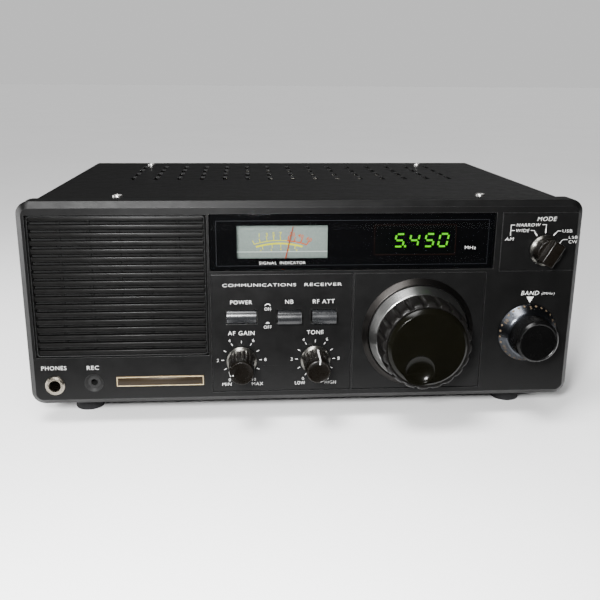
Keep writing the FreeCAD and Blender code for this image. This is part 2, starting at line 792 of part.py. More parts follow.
def speaker_cone():
    return turned(speaker_at, [(34.0, 7.75), (34.0, 8.2), (30.3, 8.2), (11.0, 21.0), (11.0, 25.5),
                               (10.2, 25.5), (10.2, 21.0), (0, 18.0), (0, 17.4), (10.0, 20.2), (29.6, 7.75)])


def main_board():
    """Circuit board with its coil cans, chips and smoothing capacitors soldered on."""
    board = box(-62, 139, 84, 206, board_bottom, board_top)
    fittings = []
    for x in (-30, 0, 30, 60, 90, 120):
        fittings.append(box(x - 5, x + 5, 96, 106, board_top, 32))
        fittings.append(box(x - 9, x + 9, 128, 135, board_top, 24.2))
    for x in (-48, -22):
        fittings.append(Part.makeCylinder(8.5, 30, Vector(x, 176, board_top)))
    for x0, x1 in ((20, 76), (92, 130)):
        fittings.append(box(x0, x1, 156, 196, board_top, 44))
    return joined([board] + fittings)


def power_transformer():
    """Laminated core on its feet with the winding round the middle limb."""
    core = box(-132, -84, 146, 172, 6.25, 52)
    coil = box(-122, -94, 138, 180, 14, 44)
    coil = coil.makeFillet(4.0, edges_at(coil, lambda b: b.ZLength > 20))
    strap = box(-138, -78, 150, 168, 6.25, 7.6)
    return joined([core, coil, strap])


# ---- write every node ----
save("front_bezel", front_bezel())
save("speaker_grille", speaker_grille())
save("grille_cloth", grille_cloth())
save("display_window", display_window())
save("display_mask", display_mask())
save("control_panel", control_panel())
save("tuning_panel", tuning_panel())
save("mode_panel", mode_panel())
save("tuning_ring", tuning_ring())
save("badge_plate", badge_plate())
save("sub_panel", sub_panel())
save("chassis", chassis())
save("top_cover", top_cover())
save("bottom_cover", bottom_cover())
save("rear_panel", rear_panel())
save("case_screws", *cover_screws())
save("rubber_feet", *rubber_feet())
save("tilt_bail", tilt_bail())
save("bail_clips", *bail_clips())
save("tuning_skirt", tuning_skirt())
save("tuning_grip", tuning_grip())
save("tuning_cap", tuning_cap())
save("tuning_shaft", tuning_shaft())
save("tuning_bushing", tuning_bushing())
save("idler_gear", idler_gear())
save("rotor_gear", rotor_gear())
save("gear_plate", gear_plate())
save("capacitor_rotor", capacitor_rotor())
save("capacitor_frame", capacitor_frame())
save("gain_knob", small_knob(gain_at, gain_rest))
save("gain_shaft", control_shaft(gain_at, 14.0))
save("tone_knob", small_knob(tone_at, tone_rest))
save("tone_shaft", control_shaft(tone_at, 14.0))
save("control_pots", control_pot(gain_at), control_pot(tone_at))
save("mode_knob", mode_knob())
save("mode_shaft", rod(mode_at, shaft_radius, knob_wall + 0.5 - mode_reach, 14.0))
save("mode_switch", rotary_switch(mode_at, 12.0, 30.0))
save("band_dial", band_dial())
save("band_knob", band_knob())
save("band_shaft", rod(band_at, shaft_radius, -12.5, 14.0))
save("band_switch", rotary_switch(band_at, 15.5, 56.0))
save("power_button", push_button(power_x, latched_in))
save("noise_button", push_button(noise_x, 0.0))
save("attenuator_button", push_button(attenuator_x, 0.0))
save("push_switches", *push_switches())
save("phones_jack", phones_jack())
save("recorder_jack", recorder_jack())
save("rear_jacks", *rear_jacks())
save("aerial_socket", aerial_socket())
save("wire_terminals", *wire_terminals())
save("mains_inlet", mains_inlet())
save("meter_case", meter_case())
save("meter_scale", meter_scale())
save("meter_needle", meter_needle())
save("display_tube", display_tube())
save("display_board", display_board())
save("speaker_frame", speaker_frame())
save("speaker_cone", speaker_cone())
save("main_board", main_board())
save("power_transformer", power_transformer())
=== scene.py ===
"""Looks of the table-top communications receiver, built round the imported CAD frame. Metres."""

import bmesh
import bpy
import json

from math import asin, cos, pi, radians, sin
from mathutils import Matrix, Vector


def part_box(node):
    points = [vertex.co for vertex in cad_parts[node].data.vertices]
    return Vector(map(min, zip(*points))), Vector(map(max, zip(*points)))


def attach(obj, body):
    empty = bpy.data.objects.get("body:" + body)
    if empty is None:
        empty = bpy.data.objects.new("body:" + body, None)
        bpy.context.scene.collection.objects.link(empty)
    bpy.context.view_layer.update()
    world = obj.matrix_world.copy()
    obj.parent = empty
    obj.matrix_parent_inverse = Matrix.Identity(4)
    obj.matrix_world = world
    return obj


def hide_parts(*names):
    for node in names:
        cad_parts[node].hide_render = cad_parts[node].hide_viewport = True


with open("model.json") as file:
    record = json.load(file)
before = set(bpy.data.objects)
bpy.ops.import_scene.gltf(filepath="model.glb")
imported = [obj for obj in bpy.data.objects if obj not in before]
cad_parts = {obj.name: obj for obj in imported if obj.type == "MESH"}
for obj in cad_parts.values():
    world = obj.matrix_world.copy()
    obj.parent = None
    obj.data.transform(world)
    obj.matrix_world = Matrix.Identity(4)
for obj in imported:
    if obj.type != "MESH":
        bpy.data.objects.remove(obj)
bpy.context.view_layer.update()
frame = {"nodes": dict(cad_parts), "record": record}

MM = 0.001
TURN = 2 * pi
WAVE_UNIT = 0.314  # scale of a wave texture whose period is one metre
nodes = frame["nodes"]

# ---- places, worked out from the frame ----
# Panel coordinates are millimetres: x right of the middle, y back from the bezel's face, z up from its
# underside.
bezel_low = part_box("front_bezel")[0]


def spot(x, y, z):
    return Vector((x * MM, bezel_low.y + y * MM, bezel_low.z + z * MM))


def around(centre, radius, angle, y):
    """A point at a radius and angle round the axis through centre; angle 0 is up."""
    return spot(centre[0] + radius * sin(angle), y, centre[1] + radius * cos(angle))


def middle(node):
    """x and z of a turned node's axis, in panel millimetres."""
    low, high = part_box(node)
    return (low.x + high.x) / 2 / MM, ((low.z + high.z) / 2 - bezel_low.z) / MM


def front(node):
    """A node's foremost y, in panel millimetres."""
    return (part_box(node)[0].y - bezel_low.y) / MM


def span(node):
    """x0, x1, z0, z1 of a node, in panel millimetres."""
    low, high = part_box(node)
    return low.x / MM, high.x / MM, (low.z - bezel_low.z) / MM, (high.z - bezel_low.z) / MM


tuning_at = middle("tuning_skirt")
band_at = middle("band_dial")
gain_at = middle("gain_shaft")
tone_at = middle("tone_shaft")
mode_at = middle("mode_shaft")
needle_pivot = (-14.6, 62.6)
gain_rest, tone_rest, mode_rest, needle_rest = -102.0, 8.0, 30.0, 13.0
panel_face = 0.4
film_face = 3.1


# ---- materials ----
satin_shine = 0.14
materials = {}


def shader(name, colour, rough, metal=0.0, **fixed):
    """A Principled material, kept by name, with its tree and shader. fixed holds plain socket values."""
    mat = bpy.data.materials.new(name)
    mat.use_nodes = True
    tree = mat.node_tree
    bsdf = tree.nodes["Principled BSDF"]
    bsdf.inputs["Base Color"].default_value = (*colour, 1)
    bsdf.inputs["Roughness"].default_value = rough
    bsdf.inputs["Metallic"].default_value = metal
    bsdf.inputs["Specular IOR Level"].default_value = 0.5 if metal else satin_shine
    for socket, value in fixed.items():
        bsdf.inputs[socket.replace("_", " ")].default_value = value
    mat.diffuse_color = (*colour, 1)
    materials[name] = mat
    return mat, tree, bsdf


def add(tree, kind, **values):
    """A shader node with some of its input sockets set to plain values."""
    node = tree.nodes.new("ShaderNode" + kind)
    for socket, value in values.items():
        node.inputs[socket.replace("_", " ")].default_value = value
    return node


def place_node(tree, stretch=(1, 1, 1)):
    """Object coordinates, scaled along each axis."""
    coord = add(tree, "TexCoord")
    mapping = add(tree, "Mapping", Scale=stretch)
    tree.links.new(coord.outputs["Object"], mapping.inputs["Vector"])
    return mapping.outputs["Vector"]


def noise(tree, where, scale, detail=4.0, rough=0.6):
    node = add(tree, "TexNoise", Scale=scale, Detail=detail, Roughness=rough)
    tree.links.new(where, node.inputs["Vector"])
    return node.outputs["Fac"]


def spread(tree, value, low, high, start=0.3, end=0.7):
    """value, from start to end, mapped to low to high."""
    node = add(tree, "MapRange", From_Min=start, From_Max=end, To_Min=low, To_Max=high)
    tree.links.new(value, node.inputs["Value"])
    return node.outputs["Result"]


def tint(tree, value, dark, light):
    ramp = add(tree, "ValToRGB")
    ramp.color_ramp.elements[0].color = (*dark, 1)
    ramp.color_ramp.elements[0].position = 0.3
    ramp.color_ramp.elements[1].color = (*light, 1)
    ramp.color_ramp.elements[1].position = 0.7
    tree.links.new(value, ramp.inputs["Fac"])
    return ramp.outputs["Color"]


def bump(tree, bsdf, height, strength, distance):
    node = add(tree, "Bump", Strength=strength, Distance=distance)
    tree.links.new(height, node.inputs["Height"])
    tree.links.new(node.outputs["Normal"], bsdf.inputs["Normal"])


def worn_edges(tree, bsdf, colour, wear_and_highlight, amount):
    """Lighten the colour along edges, where a rounded normal leaves the true one, broken up by noise: rubbed
    wear together with a painted edge highlight.
    """
    geometry = add(tree, "NewGeometry")
    rounding = add(tree, "Bevel", Radius=0.35 * MM)
    rounding.samples = 4
    compare = add(tree, "VectorMath")
    compare.operation = "DOT_PRODUCT"
    tree.links.new(geometry.outputs["Normal"], compare.inputs[0])
    tree.links.new(rounding.outputs["Normal"], compare.inputs[1])
    edge = spread(tree, compare.outputs["Value"], amount, 0.0, 0.86, 0.97)
    patchy = spread(tree, noise(tree, place_node(tree), 700, 3), 0.2, 1.0)
    both = add(tree, "Math")
    both.operation = "MULTIPLY"
    tree.links.new(edge, both.inputs[0])
    tree.links.new(patchy, both.inputs[1])
    # mix in the lighter edge colour: rubbed wear together with a painted edge highlight
    mix = add(tree, "Mix")
    mix.data_type = "RGBA"
    mix.inputs["B"].default_value = (*wear_and_highlight, 1)
    tree.links.new(both.outputs[0], mix.inputs["Factor"])
    tree.links.new(colour, mix.inputs["A"])
    tree.links.new(mix.outputs["Result"], bsdf.inputs["Base Color"])


def textured(name, colour, rough, grain=2600, depth=0.00006, strength=0.35, metal=0.0, vary=0.18,
             wear_and_highlight=None, **fixed):
    """Moulded or painted surface: a fine grain, cloudy roughness, slight colour drift, and edges lightened by
    rubbed wear together with a painted edge highlight.
    """
    mat, tree, bsdf = shader(name, colour, rough, metal, **fixed)
    where = place_node(tree)
    dark = [c * (1 - vary) for c in colour]
    light = [min(1.0, c * (1 + vary)) for c in colour]
    drift = tint(tree, noise(tree, where, 45, 5), dark, light)
    if wear_and_highlight:
        worn_edges(tree, bsdf, drift, wear_and_highlight, 0.8)
    else:
        tree.links.new(drift, bsdf.inputs["Base Color"])
    cloud = spread(tree, noise(tree, where, 130, 6, 0.7), rough - 0.05, rough + 0.07)
    tree.links.new(cloud, bsdf.inputs["Roughness"])
    bump(tree, bsdf, noise(tree, where, grain, 3), strength, depth)
    return mat


def brushed(name, colour, rough, stretch, scale=900):
    """Metal with its grain drawn out along one axis."""
    mat, tree, bsdf = shader(name, colour, rough, 1.0)
    where = place_node(tree, stretch)
    lines = noise(tree, where, scale, 5)
    dark = [c * 0.86 for c in colour]
    tree.links.new(tint(tree, lines, dark, colour), bsdf.inputs["Base Color"])
    tree.links.new(spread(tree, lines, rough - 0.06, rough + 0.08), bsdf.inputs["Roughness"])
    bump(tree, bsdf, lines, 0.25, 0.00003)
    return mat


def spun(name, colour, rough, centre, pitch):
    """Metal turned on a lathe: fine rings about the axis through centre."""
    mat, tree, bsdf = shader(name, colour, rough, 1.0)
    coord = add(tree, "TexCoord")
    shift = add(tree, "Mapping", Location=-spot(centre[0], 0, centre[1]))
    tree.links.new(coord.outputs["Object"], shift.inputs["Vector"])
    rings = add(tree, "TexWave", Scale=WAVE_UNIT / (pitch * MM), Distortion=0.6, Detail=3.0)
    rings.wave_type = "RINGS"
    rings.rings_direction = "Y"
    tree.links.new(shift.outputs["Vector"], rings.inputs["Vector"])
    dark = [c * 0.82 for c in colour]
    tree.links.new(tint(tree, rings.outputs["Fac"], dark, colour), bsdf.inputs["Base Color"])
    tree.links.new(spread(tree, rings.outputs["Fac"], rough - 0.05, rough + 0.05), bsdf.inputs["Roughness"])
    bump(tree, bsdf, rings.outputs["Fac"], 0.35, 0.00002)
    grain = add(tree, "Tangent")
    grain.direction_type = "RADIAL"
    grain.axis = "Y"
    tree.links.new(grain.outputs["Tangent"], bsdf.inputs["Tangent"])
    bsdf.inputs["Anisotropic"].default_value = 0.8
    bsdf.inputs["Anisotropic Rotation"].default_value = 0.25
    return mat


def woven(name, colour, pitch):
    """Plain-weave cloth: crossed waves."""
    mat, tree, bsdf = shader(name, colour, 0.9, Sheen_Weight=0.3)
    where = place_node(tree)
    waves = []
    for direction in ("X", "Z"):
        wave = add(tree, "TexWave", Scale=WAVE_UNIT / (pitch * MM))
        wave.bands_direction = direction
        tree.links.new(where, wave.inputs["Vector"])
        waves.append(wave.outputs["Fac"])
    cross = add(tree, "Math")
    cross.operation = "MULTIPLY"
    tree.links.new(waves[0], cross.inputs[0])
    tree.links.new(waves[1], cross.inputs[1])
    light = [c * 3.0 for c in colour]
    tree.links.new(tint(tree, cross.outputs[0], colour, light), bsdf.inputs["Base Color"])
    bump(tree, bsdf, cross.outputs[0], 0.6, 0.00012)
    return mat


def glowing(name, colour, power):
    """A mark that gives off light, with a fine mottling: the display's own glow for the digits, painted glow
    for the meter's print.
    """
    mat, tree, bsdf = shader(name, [c * 0.5 for c in colour], 0.5)
    bsdf.inputs["Emission Color"].default_value = (*colour, 1)
    mottle = noise(tree, place_node(tree), 2500, 2)
    tree.links.new(spread(tree, mottle, power * 0.85, power * 1.1), bsdf.inputs["Emission Strength"])
    return mat


def smoked():
    """Dark acrylic that lets part of the light through, with faint haze and wipe marks."""
    mat, tree, bsdf = shader("smoked_window", (0.0008, 0.0009, 0.0012), 0.04, IOR=1.5, Alpha=0.3,
                             Specular_IOR_Level=0.12)
    where = place_node(tree, (1, 1, 2.5))
    haze = noise(tree, where, 60, 6, 0.65)
    tree.links.new(spread(tree, haze, 0.03, 0.09), bsdf.inputs["Roughness"])
    return mat


def card():
    """The meter's grey-green printed card, with a painted glow in its own colour that stands in for the light
    falling on it.
    """
    mat, tree, bsdf = shader("scale_card", (0.27, 0.33, 0.3), 0.7)
    where = place_node(tree)
    fibre = noise(tree, where, 900, 4)
    colour = tint(tree, fibre, (0.25, 0.31, 0.28), (0.31, 0.37, 0.34))
    tree.links.new(colour, bsdf.inputs["Base Color"])
    tree.links.new(colour, bsdf.inputs["Emission Color"])
    # painted glow: none below one height, full above another
    lamp = add(tree, "SeparateXYZ")
    tree.links.new(where, lamp.inputs[0])
    low = spot(0, 0, 79.2).z
    high = spot(0, 0, 80.4).z
    tree.links.new(spread(tree, lamp.outputs["Z"], 0.0, 0.82, low, high), bsdf.inputs["Emission Strength"])
    bump(tree, bsdf, fibre, 0.2, 0.00003)
    return mat


# One for each of the record's material slots, under the slot's name.
# The lighter edge colours given below are rubbed wear together with a painted edge highlight.
textured("bezel_plastic", (0.0026, 0.0026, 0.0026), 0.36, 1900, 0.00005, 0.22,
         wear_and_highlight=(0.06, 0.06, 0.06))
textured("grille_plastic", (0.0028, 0.0027, 0.0026), 0.35, 1500, 0.00004, 0.2,
         wear_and_highlight=(0.07, 0.07, 0.07))
woven("grille_cloth", (0.004, 0.004, 0.004), 0.5)
smoked()
textured("mask_film", (0.001, 0.001, 0.0011), 0.5, 300, 0.000005, 0.02,
         Specular_IOR_Level=0.05)
textured("panel_paint", (0.0028, 0.0028, 0.0028), 0.36, 2300, 0.00006, 0.3,
         wear_and_highlight=(0.07, 0.07, 0.07))
spun("ring_metal", (0.03, 0.028, 0.0265), 0.46, tuning_at, 0.35)
brushed("badge_metal", (0.09, 0.065, 0.035), 0.35, (0.05, 1, 1))
textured("case_paint", (0.0016, 0.0016, 0.0016), 0.42, 1100, 0.00012, 0.45,
         wear_and_highlight=(0.05, 0.05, 0.05))
textured("rear_paint", (0.02, 0.02, 0.021), 0.48, 1600, 0.00008, 0.35,
         wear_and_highlight=(0.08, 0.08, 0.08))
textured("plated_steel", (0.55, 0.53, 0.47), 0.38, 500, 0.00004, 0.2, 1.0, 0.1)
brushed("screw_steel", (0.62, 0.61, 0.59), 0.27, (1, 1, 1), 1500)
textured("foot_rubber", (0.0095, 0.0095, 0.0102), 0.72, 1500, 0.0001, 0.4)
textured("clip_plastic", (0.012, 0.012, 0.012), 0.5, 2000, 0.00006, 0.3)
spun("bright_aluminium", (0.27, 0.27, 0.265), 0.33, tuning_at, 0.3)
textured("grip_rubber", (0.003, 0.0027, 0.0025), 0.36, 900, 0.00005, 0.12,
         Specular_IOR_Level=0.12)
textured("cap_plastic", (0.0017, 0.0016, 0.0009), 0.2, 1800, 0.00004, 0.06,
         Specular_IOR_Level=0.1)
brushed("shaft_steel", (0.6, 0.6, 0.6), 0.25, (1, 0.1, 1))
brushed("gear_brass", (0.65, 0.47, 0.2), 0.3, (1, 1, 1))
brushed("vane_aluminium", (0.68, 0.68, 0.68), 0.32, (0.1, 1, 1))
textured("knob_plastic", (0.0026, 0.002, 0.0014), 0.27, 1600, 0.00004, 0.12,
         wear_and_highlight=(0.05, 0.045, 0.04))
spun("dial_paint", (0.075, 0.08, 0.09), 0.3, band_at, 0.3)
textured("pot_metal", (0.5, 0.5, 0.48), 0.35, 700, 0.00005, 0.2, 1.0, 0.1)
textured("button_plastic", (0.0085, 0.0089, 0.0098), 0.24, 2000, 0.00003, 0.12,
         wear_and_highlight=(0.09, 0.09, 0.09), Specular_IOR_Level=0.45)
brushed("nickel_plate", (0.3, 0.27, 0.22), 0.26, (1, 1, 1), 1200)
textured("meter_plastic", (0.02, 0.02, 0.02), 0.5)
card()
# painted glow: the needle gives off red light though no lamp lights it
textured("needle_paint", (0.5, 0.07, 0.015), 0.4, Emission_Color=(0.5, 0.07, 0.015, 1),
         Emission_Strength=0.55)
textured("tube_glass", (0.0015, 0.002, 0.0015), 0.3, 300, 0.00002, 0.05,
         Specular_IOR_Level=0.1)
textured("board_laminate", (0.03, 0.11, 0.05), 0.4, 600)
textured("basket_steel", (0.05, 0.05, 0.05), 0.45, 900)
textured("cone_paper", (0.03, 0.028, 0.026), 0.85, 900, 0.0002, 0.5)
brushed("transformer_iron", (0.09, 0.085, 0.08), 0.5, (0.05, 1, 0.05))

# Others, for single pieces.
legend_white = textured("legend_white", (0.5, 0.5, 0.49), 0.55, 1800, 0.00003, 0.2)
badge_gold = brushed("badge_gold", (0.78, 0.66, 0.42), 0.32, (0.05, 1, 1))
badge_field = textured("badge_field", (0.012, 0.008, 0.004), 0.34, 1500, 0.00003, 0.15)
knob_silver = {
    name: spun("silver_" + name, (0.17, 0.165, 0.15), 0.3, centre, 0.25)
    for name, centre in (("gain", gain_at), ("tone", tone_at), ("mode", mode_at))
}
band_paint = textured("band_black", (0.0013, 0.0013, 0.0013), 0.25, 1500, 0.00004, 0.12)
digit_green = glowing("digit_green", (0.13, 0.85, 0.0), 1.5)
digit_off = textured("digit_off", (0.0012, 0.0016, 0.001), 0.5, Specular_IOR_Level=0.1)
# painted glow: the meter's printed marks and ledge line give off light though no lamp lights them
scale_yellow = glowing("scale_yellow", (0.9, 0.9, 0.02), 1.5)
scale_red = glowing("scale_red", (1.0, 0.16, 0.01), 1.1)
scale_line = glowing("scale_line", (0.6, 0.68, 0.64), 1.6)
insulator = textured("insulator_white", (0.6, 0.58, 0.52), 0.5)
# painted shade: a dull near-black for the grille's ribs, standing in for the shade between the slats
painted_shade_black = textured("painted_shade_black", (0.003, 0.003, 0.003), 0.8)


# ---- mesh helpers ----
def mesh_of(name, bm, smooth=35.0):
    """Close a bmesh into a mesh: outward normals, smooth except over edges sharper than smooth degrees."""
    bmesh.ops.remove_doubles(bm, verts=bm.verts, dist=1e-7)
    bmesh.ops.recalc_face_normals(bm, faces=bm.faces)
    sharp = radians(smooth)
    for face in bm.faces:
        face.smooth = True
    for edge in bm.edges:
        edge.smooth = len(edge.link_faces) == 2 and edge.calc_face_angle(0) < sharp
    mesh = bpy.data.meshes.new(name)
    bm.to_mesh(mesh)
    bm.free()
    return mesh


def piece(name, bm, slot, body, *replaced, smooth=35.0, material=None):
    """Make an object of a bmesh, give it its slot's material and ride it on a body."""
    mesh = mesh_of(name, bm, smooth)
    thing = bpy.data.objects.new(name, mesh)
    bpy.context.scene.collection.objects.link(thing)
    mesh.materials.clear()
    mesh.materials.append(material or materials[slot])
    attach(thing, body)
    if replaced:
        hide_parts(*replaced)
    return thing


def rounded(profile, radius, steps=4):
    """Round the corners of an open (r, y) outline with small arcs."""
    out = [profile[0]]
    for before, here, after in zip(profile, profile[1:], profile[2:]):
        here_v = Vector(here)
        back = Vector(before) - here_v
        ahead = Vector(after) - here_v
        reach = min(radius, back.length * 0.45, ahead.length * 0.45)
        first = here_v + back.normalized() * reach
        last = here_v + ahead.normalized() * reach
        for step in range(steps + 1):
            t = step / steps
            point = first * (1 - t) ** 2 + here_v * 2 * t * (1 - t) + last * t ** 2
            out.append((point.x, point.y))
    out.append(profile[-1])
    return out


def bridge(bm, one, two):
    """Faces between two rings with the same number of points."""
    for side in range(len(one)):
        nxt = (side + 1) % len(one)
        bm.faces.new((one[side], one[nxt], two[nxt], two[side]))


def circle(bm, centre, radius, y, sides):
    """A ring of points facing the front."""
    return [bm.verts.new(around(centre, radius, TURN * side / sides, y)) for side in range(sides)]


def lathe(bm, centre, profile, sides=128, shape=None, turn=0.0):
    """Turn an outline of (radius, y) about the axis through centre. shape(angle, row) scales a radius."""
    rings = []
    for row, (radius, y) in enumerate(profile):
        ring = []
        for side in range(sides):
            angle = TURN * side / sides
            r = radius * (shape(angle, row) if shape else 1.0)
            ring.append(bm.verts.new(around(centre, r, angle + turn, y)))
        rings.append(ring)
    for one, two in zip(rings, rings[1:]):
        bridge(bm, one, two)
    return rings


def cap_both(bm, rings):
    """Close the first and the last ring."""
    bm.faces.new(rings[0])
    bm.faces.new(rings[-1])


def turned(name, centre, profile, slot, body, *replaced, sides=128, corner=0.25, **more):
    """A turned piece whose outline joins its last ring to its first."""
    outline = rounded(profile, corner) if corner else profile
    bm = bmesh.new()
    rings = lathe(bm, centre, outline, sides)
    bridge(bm, rings[-1], rings[0])
    return piece(name, bm, slot, body, *replaced, **more)


def block(bm, x0, x1, y0, y1, z0, z1):
    """A box between panel coordinates."""
    made = bmesh.ops.create_cube(bm, size=1.0)["verts"]
    size = Vector((x1 - x0, y1 - y0, z1 - z0)) * MM
    centre = spot((x0 + x1) / 2, (y0 + y1) / 2, (z0 + z1) / 2)
    for vert in made:
        vert.co = Vector((vert.co.x * size.x, vert.co.y * size.y, vert.co.z * size.z)) + centre
    return made


def swing(bm, verts, centre, degrees):
    """Turn verts clockwise about the panel point centre."""
    matrix = Matrix.Rotation(radians(degrees), 3, "Y")
    bmesh.ops.rotate(bm, verts=verts, cent=spot(centre[0], 0, centre[1]), matrix=matrix)


def soften(bm, edges, width, segments=3):
    bmesh.ops.bevel(bm, geom=edges, offset=width * MM, segments=segments, profile=0.5, affect="EDGES",
                    clamp_overlap=True)


def slab(name, bounds, slot, body, *replaced, edge=0.3, segments=3, material=None):
    """A block with softened edges."""
    bm = bmesh.new()
    block(bm, *bounds)
    soften(bm, bm.edges[:], edge, segments)
    return piece(name, bm, slot, body, *replaced, smooth=60, material=material)


def tube_line(bm, points, y0, y1, width):
    """A flat printed line of a given width through (x, z) points, with mitred joints."""
    left, right = [], []
    for index, (x, z) in enumerate(points):
        here = Vector((x, z))
        ahead = Vector(points[min(index + 1, len(points) - 1)]) - here
        behind = here - Vector(points[max(index - 1, 0)])
        ahead = ahead.normalized() if ahead.length else behind.normalized()
        behind = behind.normalized() if behind.length else ahead
        way = (ahead + behind).normalized()
        across = Vector((-way.y, way.x)) * width / 2 / max(0.5, way.dot(ahead))
        left.append(here + across)
        right.append(here - across)
    rows = []
    for y in (y0, y1):
        rows.append([bm.verts.new(spot(p.x, y, p.y)) for p in left + right[::-1]])
    count = len(rows[0])
    half = len(left)
    for row in rows:
        for index in range(half - 1):
            bm.faces.new((row[index], row[index + 1], row[count - 2 - index], row[count - 1 - index]))
    bridge(bm, rows[0], rows[1])


def lines(name, paths, y, width, slot, material=legend_white, rise=0.05):
    """Several printed lines as one piece, standing rise proud of the surface at y."""
    bm = bmesh.new()
    for points in paths:
        tube_line(bm, points, y - rise, y + 0.02, width)
    return piece(name, bm, slot, "receiver", material=material)


def words(name, text, x, z, height, y, slot="panel_paint", body="receiver", material=None, width=None,
          bold=-0.03, rise=0.05, turn=0.0, slant=0.0, back=False):
    """Printed text as a mesh piece: x and z are its middle, height its capitals'."""
    curve = bpy.data.curves.new(name, "FONT")
    curve.body = text
    curve.size = height * MM / 0.73
    curve.align_x = "CENTER"
    curve.align_y = "CENTER"
    curve.offset = bold * MM
    curve.shear = slant
    curve.extrude = rise * MM / 2
    curve.resolution_u = 3
    curve.space_character = 1.12
    maker = bpy.data.objects.new(name + "_maker", curve)
    bpy.context.scene.collection.objects.link(maker)
    bpy.context.view_layer.update()
    mesh = bpy.data.meshes.new_from_object(maker.evaluated_get(bpy.context.evaluated_depsgraph_get()))
    bpy.data.objects.remove(maker)
    bm = bmesh.new()
    bm.from_mesh(mesh)
    xs = [v.co.x for v in bm.verts]
    ys = [v.co.y for v in bm.verts]
    stretch = width * MM / (max(xs) - min(xs)) if width else 1.0
    shift_x = (max(xs) + min(xs)) / 2
    shift_y = (max(ys) + min(ys)) / 2
    face = -1 if back else 1
    angle = radians(turn)
    origin = spot(x, y, z)
    for vert in bm.verts:
        across = (vert.co.x - shift_x) * stretch * face
        up = vert.co.y - shift_y
        depth = vert.co.z
        turned_x = across * cos(angle) + up * sin(angle)
        turned_z = up * cos(angle) - across * sin(angle)
        vert.co = origin + Vector((turned_x, -depth * face, turned_z))
    return piece(name, bm, slot, body, material=material or legend_white)


def refine(node, width):
    """Soften a CAD node's edges with modifiers, which leave its mesh as it is."""
    thing = nodes[node]
    weld = thing.modifiers.new("weld", "WELD")
    weld.merge_threshold = 1e-6
    bevel = thing.modifiers.new("bevel", "BEVEL")
    bevel.width = width * MM
    bevel.segments = 2
    bevel.limit_method = "ANGLE"
    bevel.angle_limit = radians(40)
    bevel.harden_normals = False
    bevel.use_clamp_overlap = True


# ---- CAD nodes that stay: their slot's material, and softened edges ----
for part in frame["record"]["subparts"]:
    target = nodes[part["node"]]
    target.data.materials.clear()
    target.data.materials.append(materials[part["material_slot"]])

softened = {"front_bezel": 0.35, "control_panel": 0.22, "tuning_panel": 0.25, "mode_panel": 0.25,
            "top_cover": 0.25, "bottom_cover": 0.25, "rear_panel": 0.2, "mains_inlet": 0.3,
            "badge_plate": 0.12, "bail_clips": 0.3, "wire_terminals": 0.2}
for node_name, edge_width in softened.items():
    refine(node_name, edge_width)


# ---- speaker grille ----
def speaker_grille():
    """Slats with crowned faces in a rim with rounded inner corners, and the ribs behind them, in a dull
    near-black that paints the shade between the slats.
    """
    x0, x1, z0, z1 = span("speaker_grille")
    y0 = front("speaker_grille")
    count, pitch, top = 18, 4.29, 102.65
    half_slat, side_gap = 1.225, 1.4
    ribs, first_rib, rib_pitch, half_rib = 5, 15.7, 15.4, 0.9
    bm = bmesh.new()
    for number in range(count):
        z = top - number * pitch
        slat = block(bm, x0 + side_gap, x1 - side_gap, y0, y0 + 3.2, z - half_slat, z + half_slat)
        faces = {face for vert in slat for face in vert.link_faces}
        edges = [edge for edge in {e for f in faces for e in f.edges}
                 if all(v.co.y < spot(0, y0 + 0.1, 0).y for v in edge.verts)]
        soften(bm, edges, 0.42, 3)
    piece("grille_slats", bm, "grille_plastic", "receiver", "speaker_grille", smooth=50)
    bm = bmesh.new()
    for number in range(ribs):
        x = x0 + first_rib + number * rib_pitch
        block(bm, x - half_rib, x + half_rib, y0 + 2.9, y0 + 4.0, z0 + 0.6, z1 - 0.6)
    soften(bm, bm.edges[:], 0.2, 2)
    # the ribs carry painted shade: a dull near-black for the gaps between the slats
    piece("grille_ribs", bm, "grille_plastic", "receiver", material=painted_shade_black, smooth=50)


def grille_rim():
    """The rounded frame that stands round the slats."""
    x0, x1, z0, z1 = span("speaker_grille")
    bm = bmesh.new()
    rows = []
    corner = 2.2
    outer = (x0, x1, z0, z1, corner)
    inner = (x0 + 1.3, x1 - 1.3, z0 + 1.0, z1 - 1.0, corner - 0.8)
    for (a0, a1, b0, b1, r), y in ((outer, 5.0), (outer, 0.75), (outer, 0.45), (inner, 0.3), (inner, 0.7),
                                   (inner, 5.0)):
        inset = {0.45: 0.25, 0.3: -0.3}.get(y, 0.0)
        ring = []
        corners = ((a1 - r, b1 - r), (a1 - r, b0 + r), (a0 + r, b0 + r), (a0 + r, b1 - r))
        for index, (cx, cz) in enumerate(corners):
            for step in range(7):
                angle = TURN / 4 * (index + step / 6)
                radius = r - inset
                x, z = cx + radius * sin(angle), cz + radius * cos(angle)
                ring.append(bm.verts.new(spot(x, y, z)))
        rows.append(ring)
    rows.append(rows[0])
    for one, two in zip(rows, rows[1:]):
        bridge(bm, one, two)
    piece("grille_rim", bm, "bezel_plastic", "receiver", smooth=50)


speaker_grille()
grille_rim()


# ---- display: window, meter and digits ----
def window():
    x0, x1, z0, z1 = span("display_window")
    slab("window_pane", (x0, x1, 0.6, 3.0, z0, z1), "smoked_window", "receiver", "display_window", edge=0.5)
    inset = 3.6
    border = [(x0 + inset, z0 + 2.6), (x0 + inset, z1 - inset), (x1 - inset, z1 - inset),
              (x1 - inset, z0 + 2.6), (x0 + inset, z0 + 2.6)]
    lines("window_border", [border], front("display_window"), 0.25, "mask_film",
          textured("border_grey", (0.006, 0.0065, 0.008), 0.4))


def lens_edge():
    """The faint brown edge of the clear part over the digits."""
    x0, x1, z0, z1 = 36.8, 81.0, 82.0, 98.2
    path = [(x0, z0), (x0, z1), (x1, z1), (x1, z0), (x0, z0)]
    brown = textured("lens_brown", (0.016, 0.005, 0.002), 0.5)
    lines("lens_edge", [path], film_face, 0.4, "mask_film", brown)


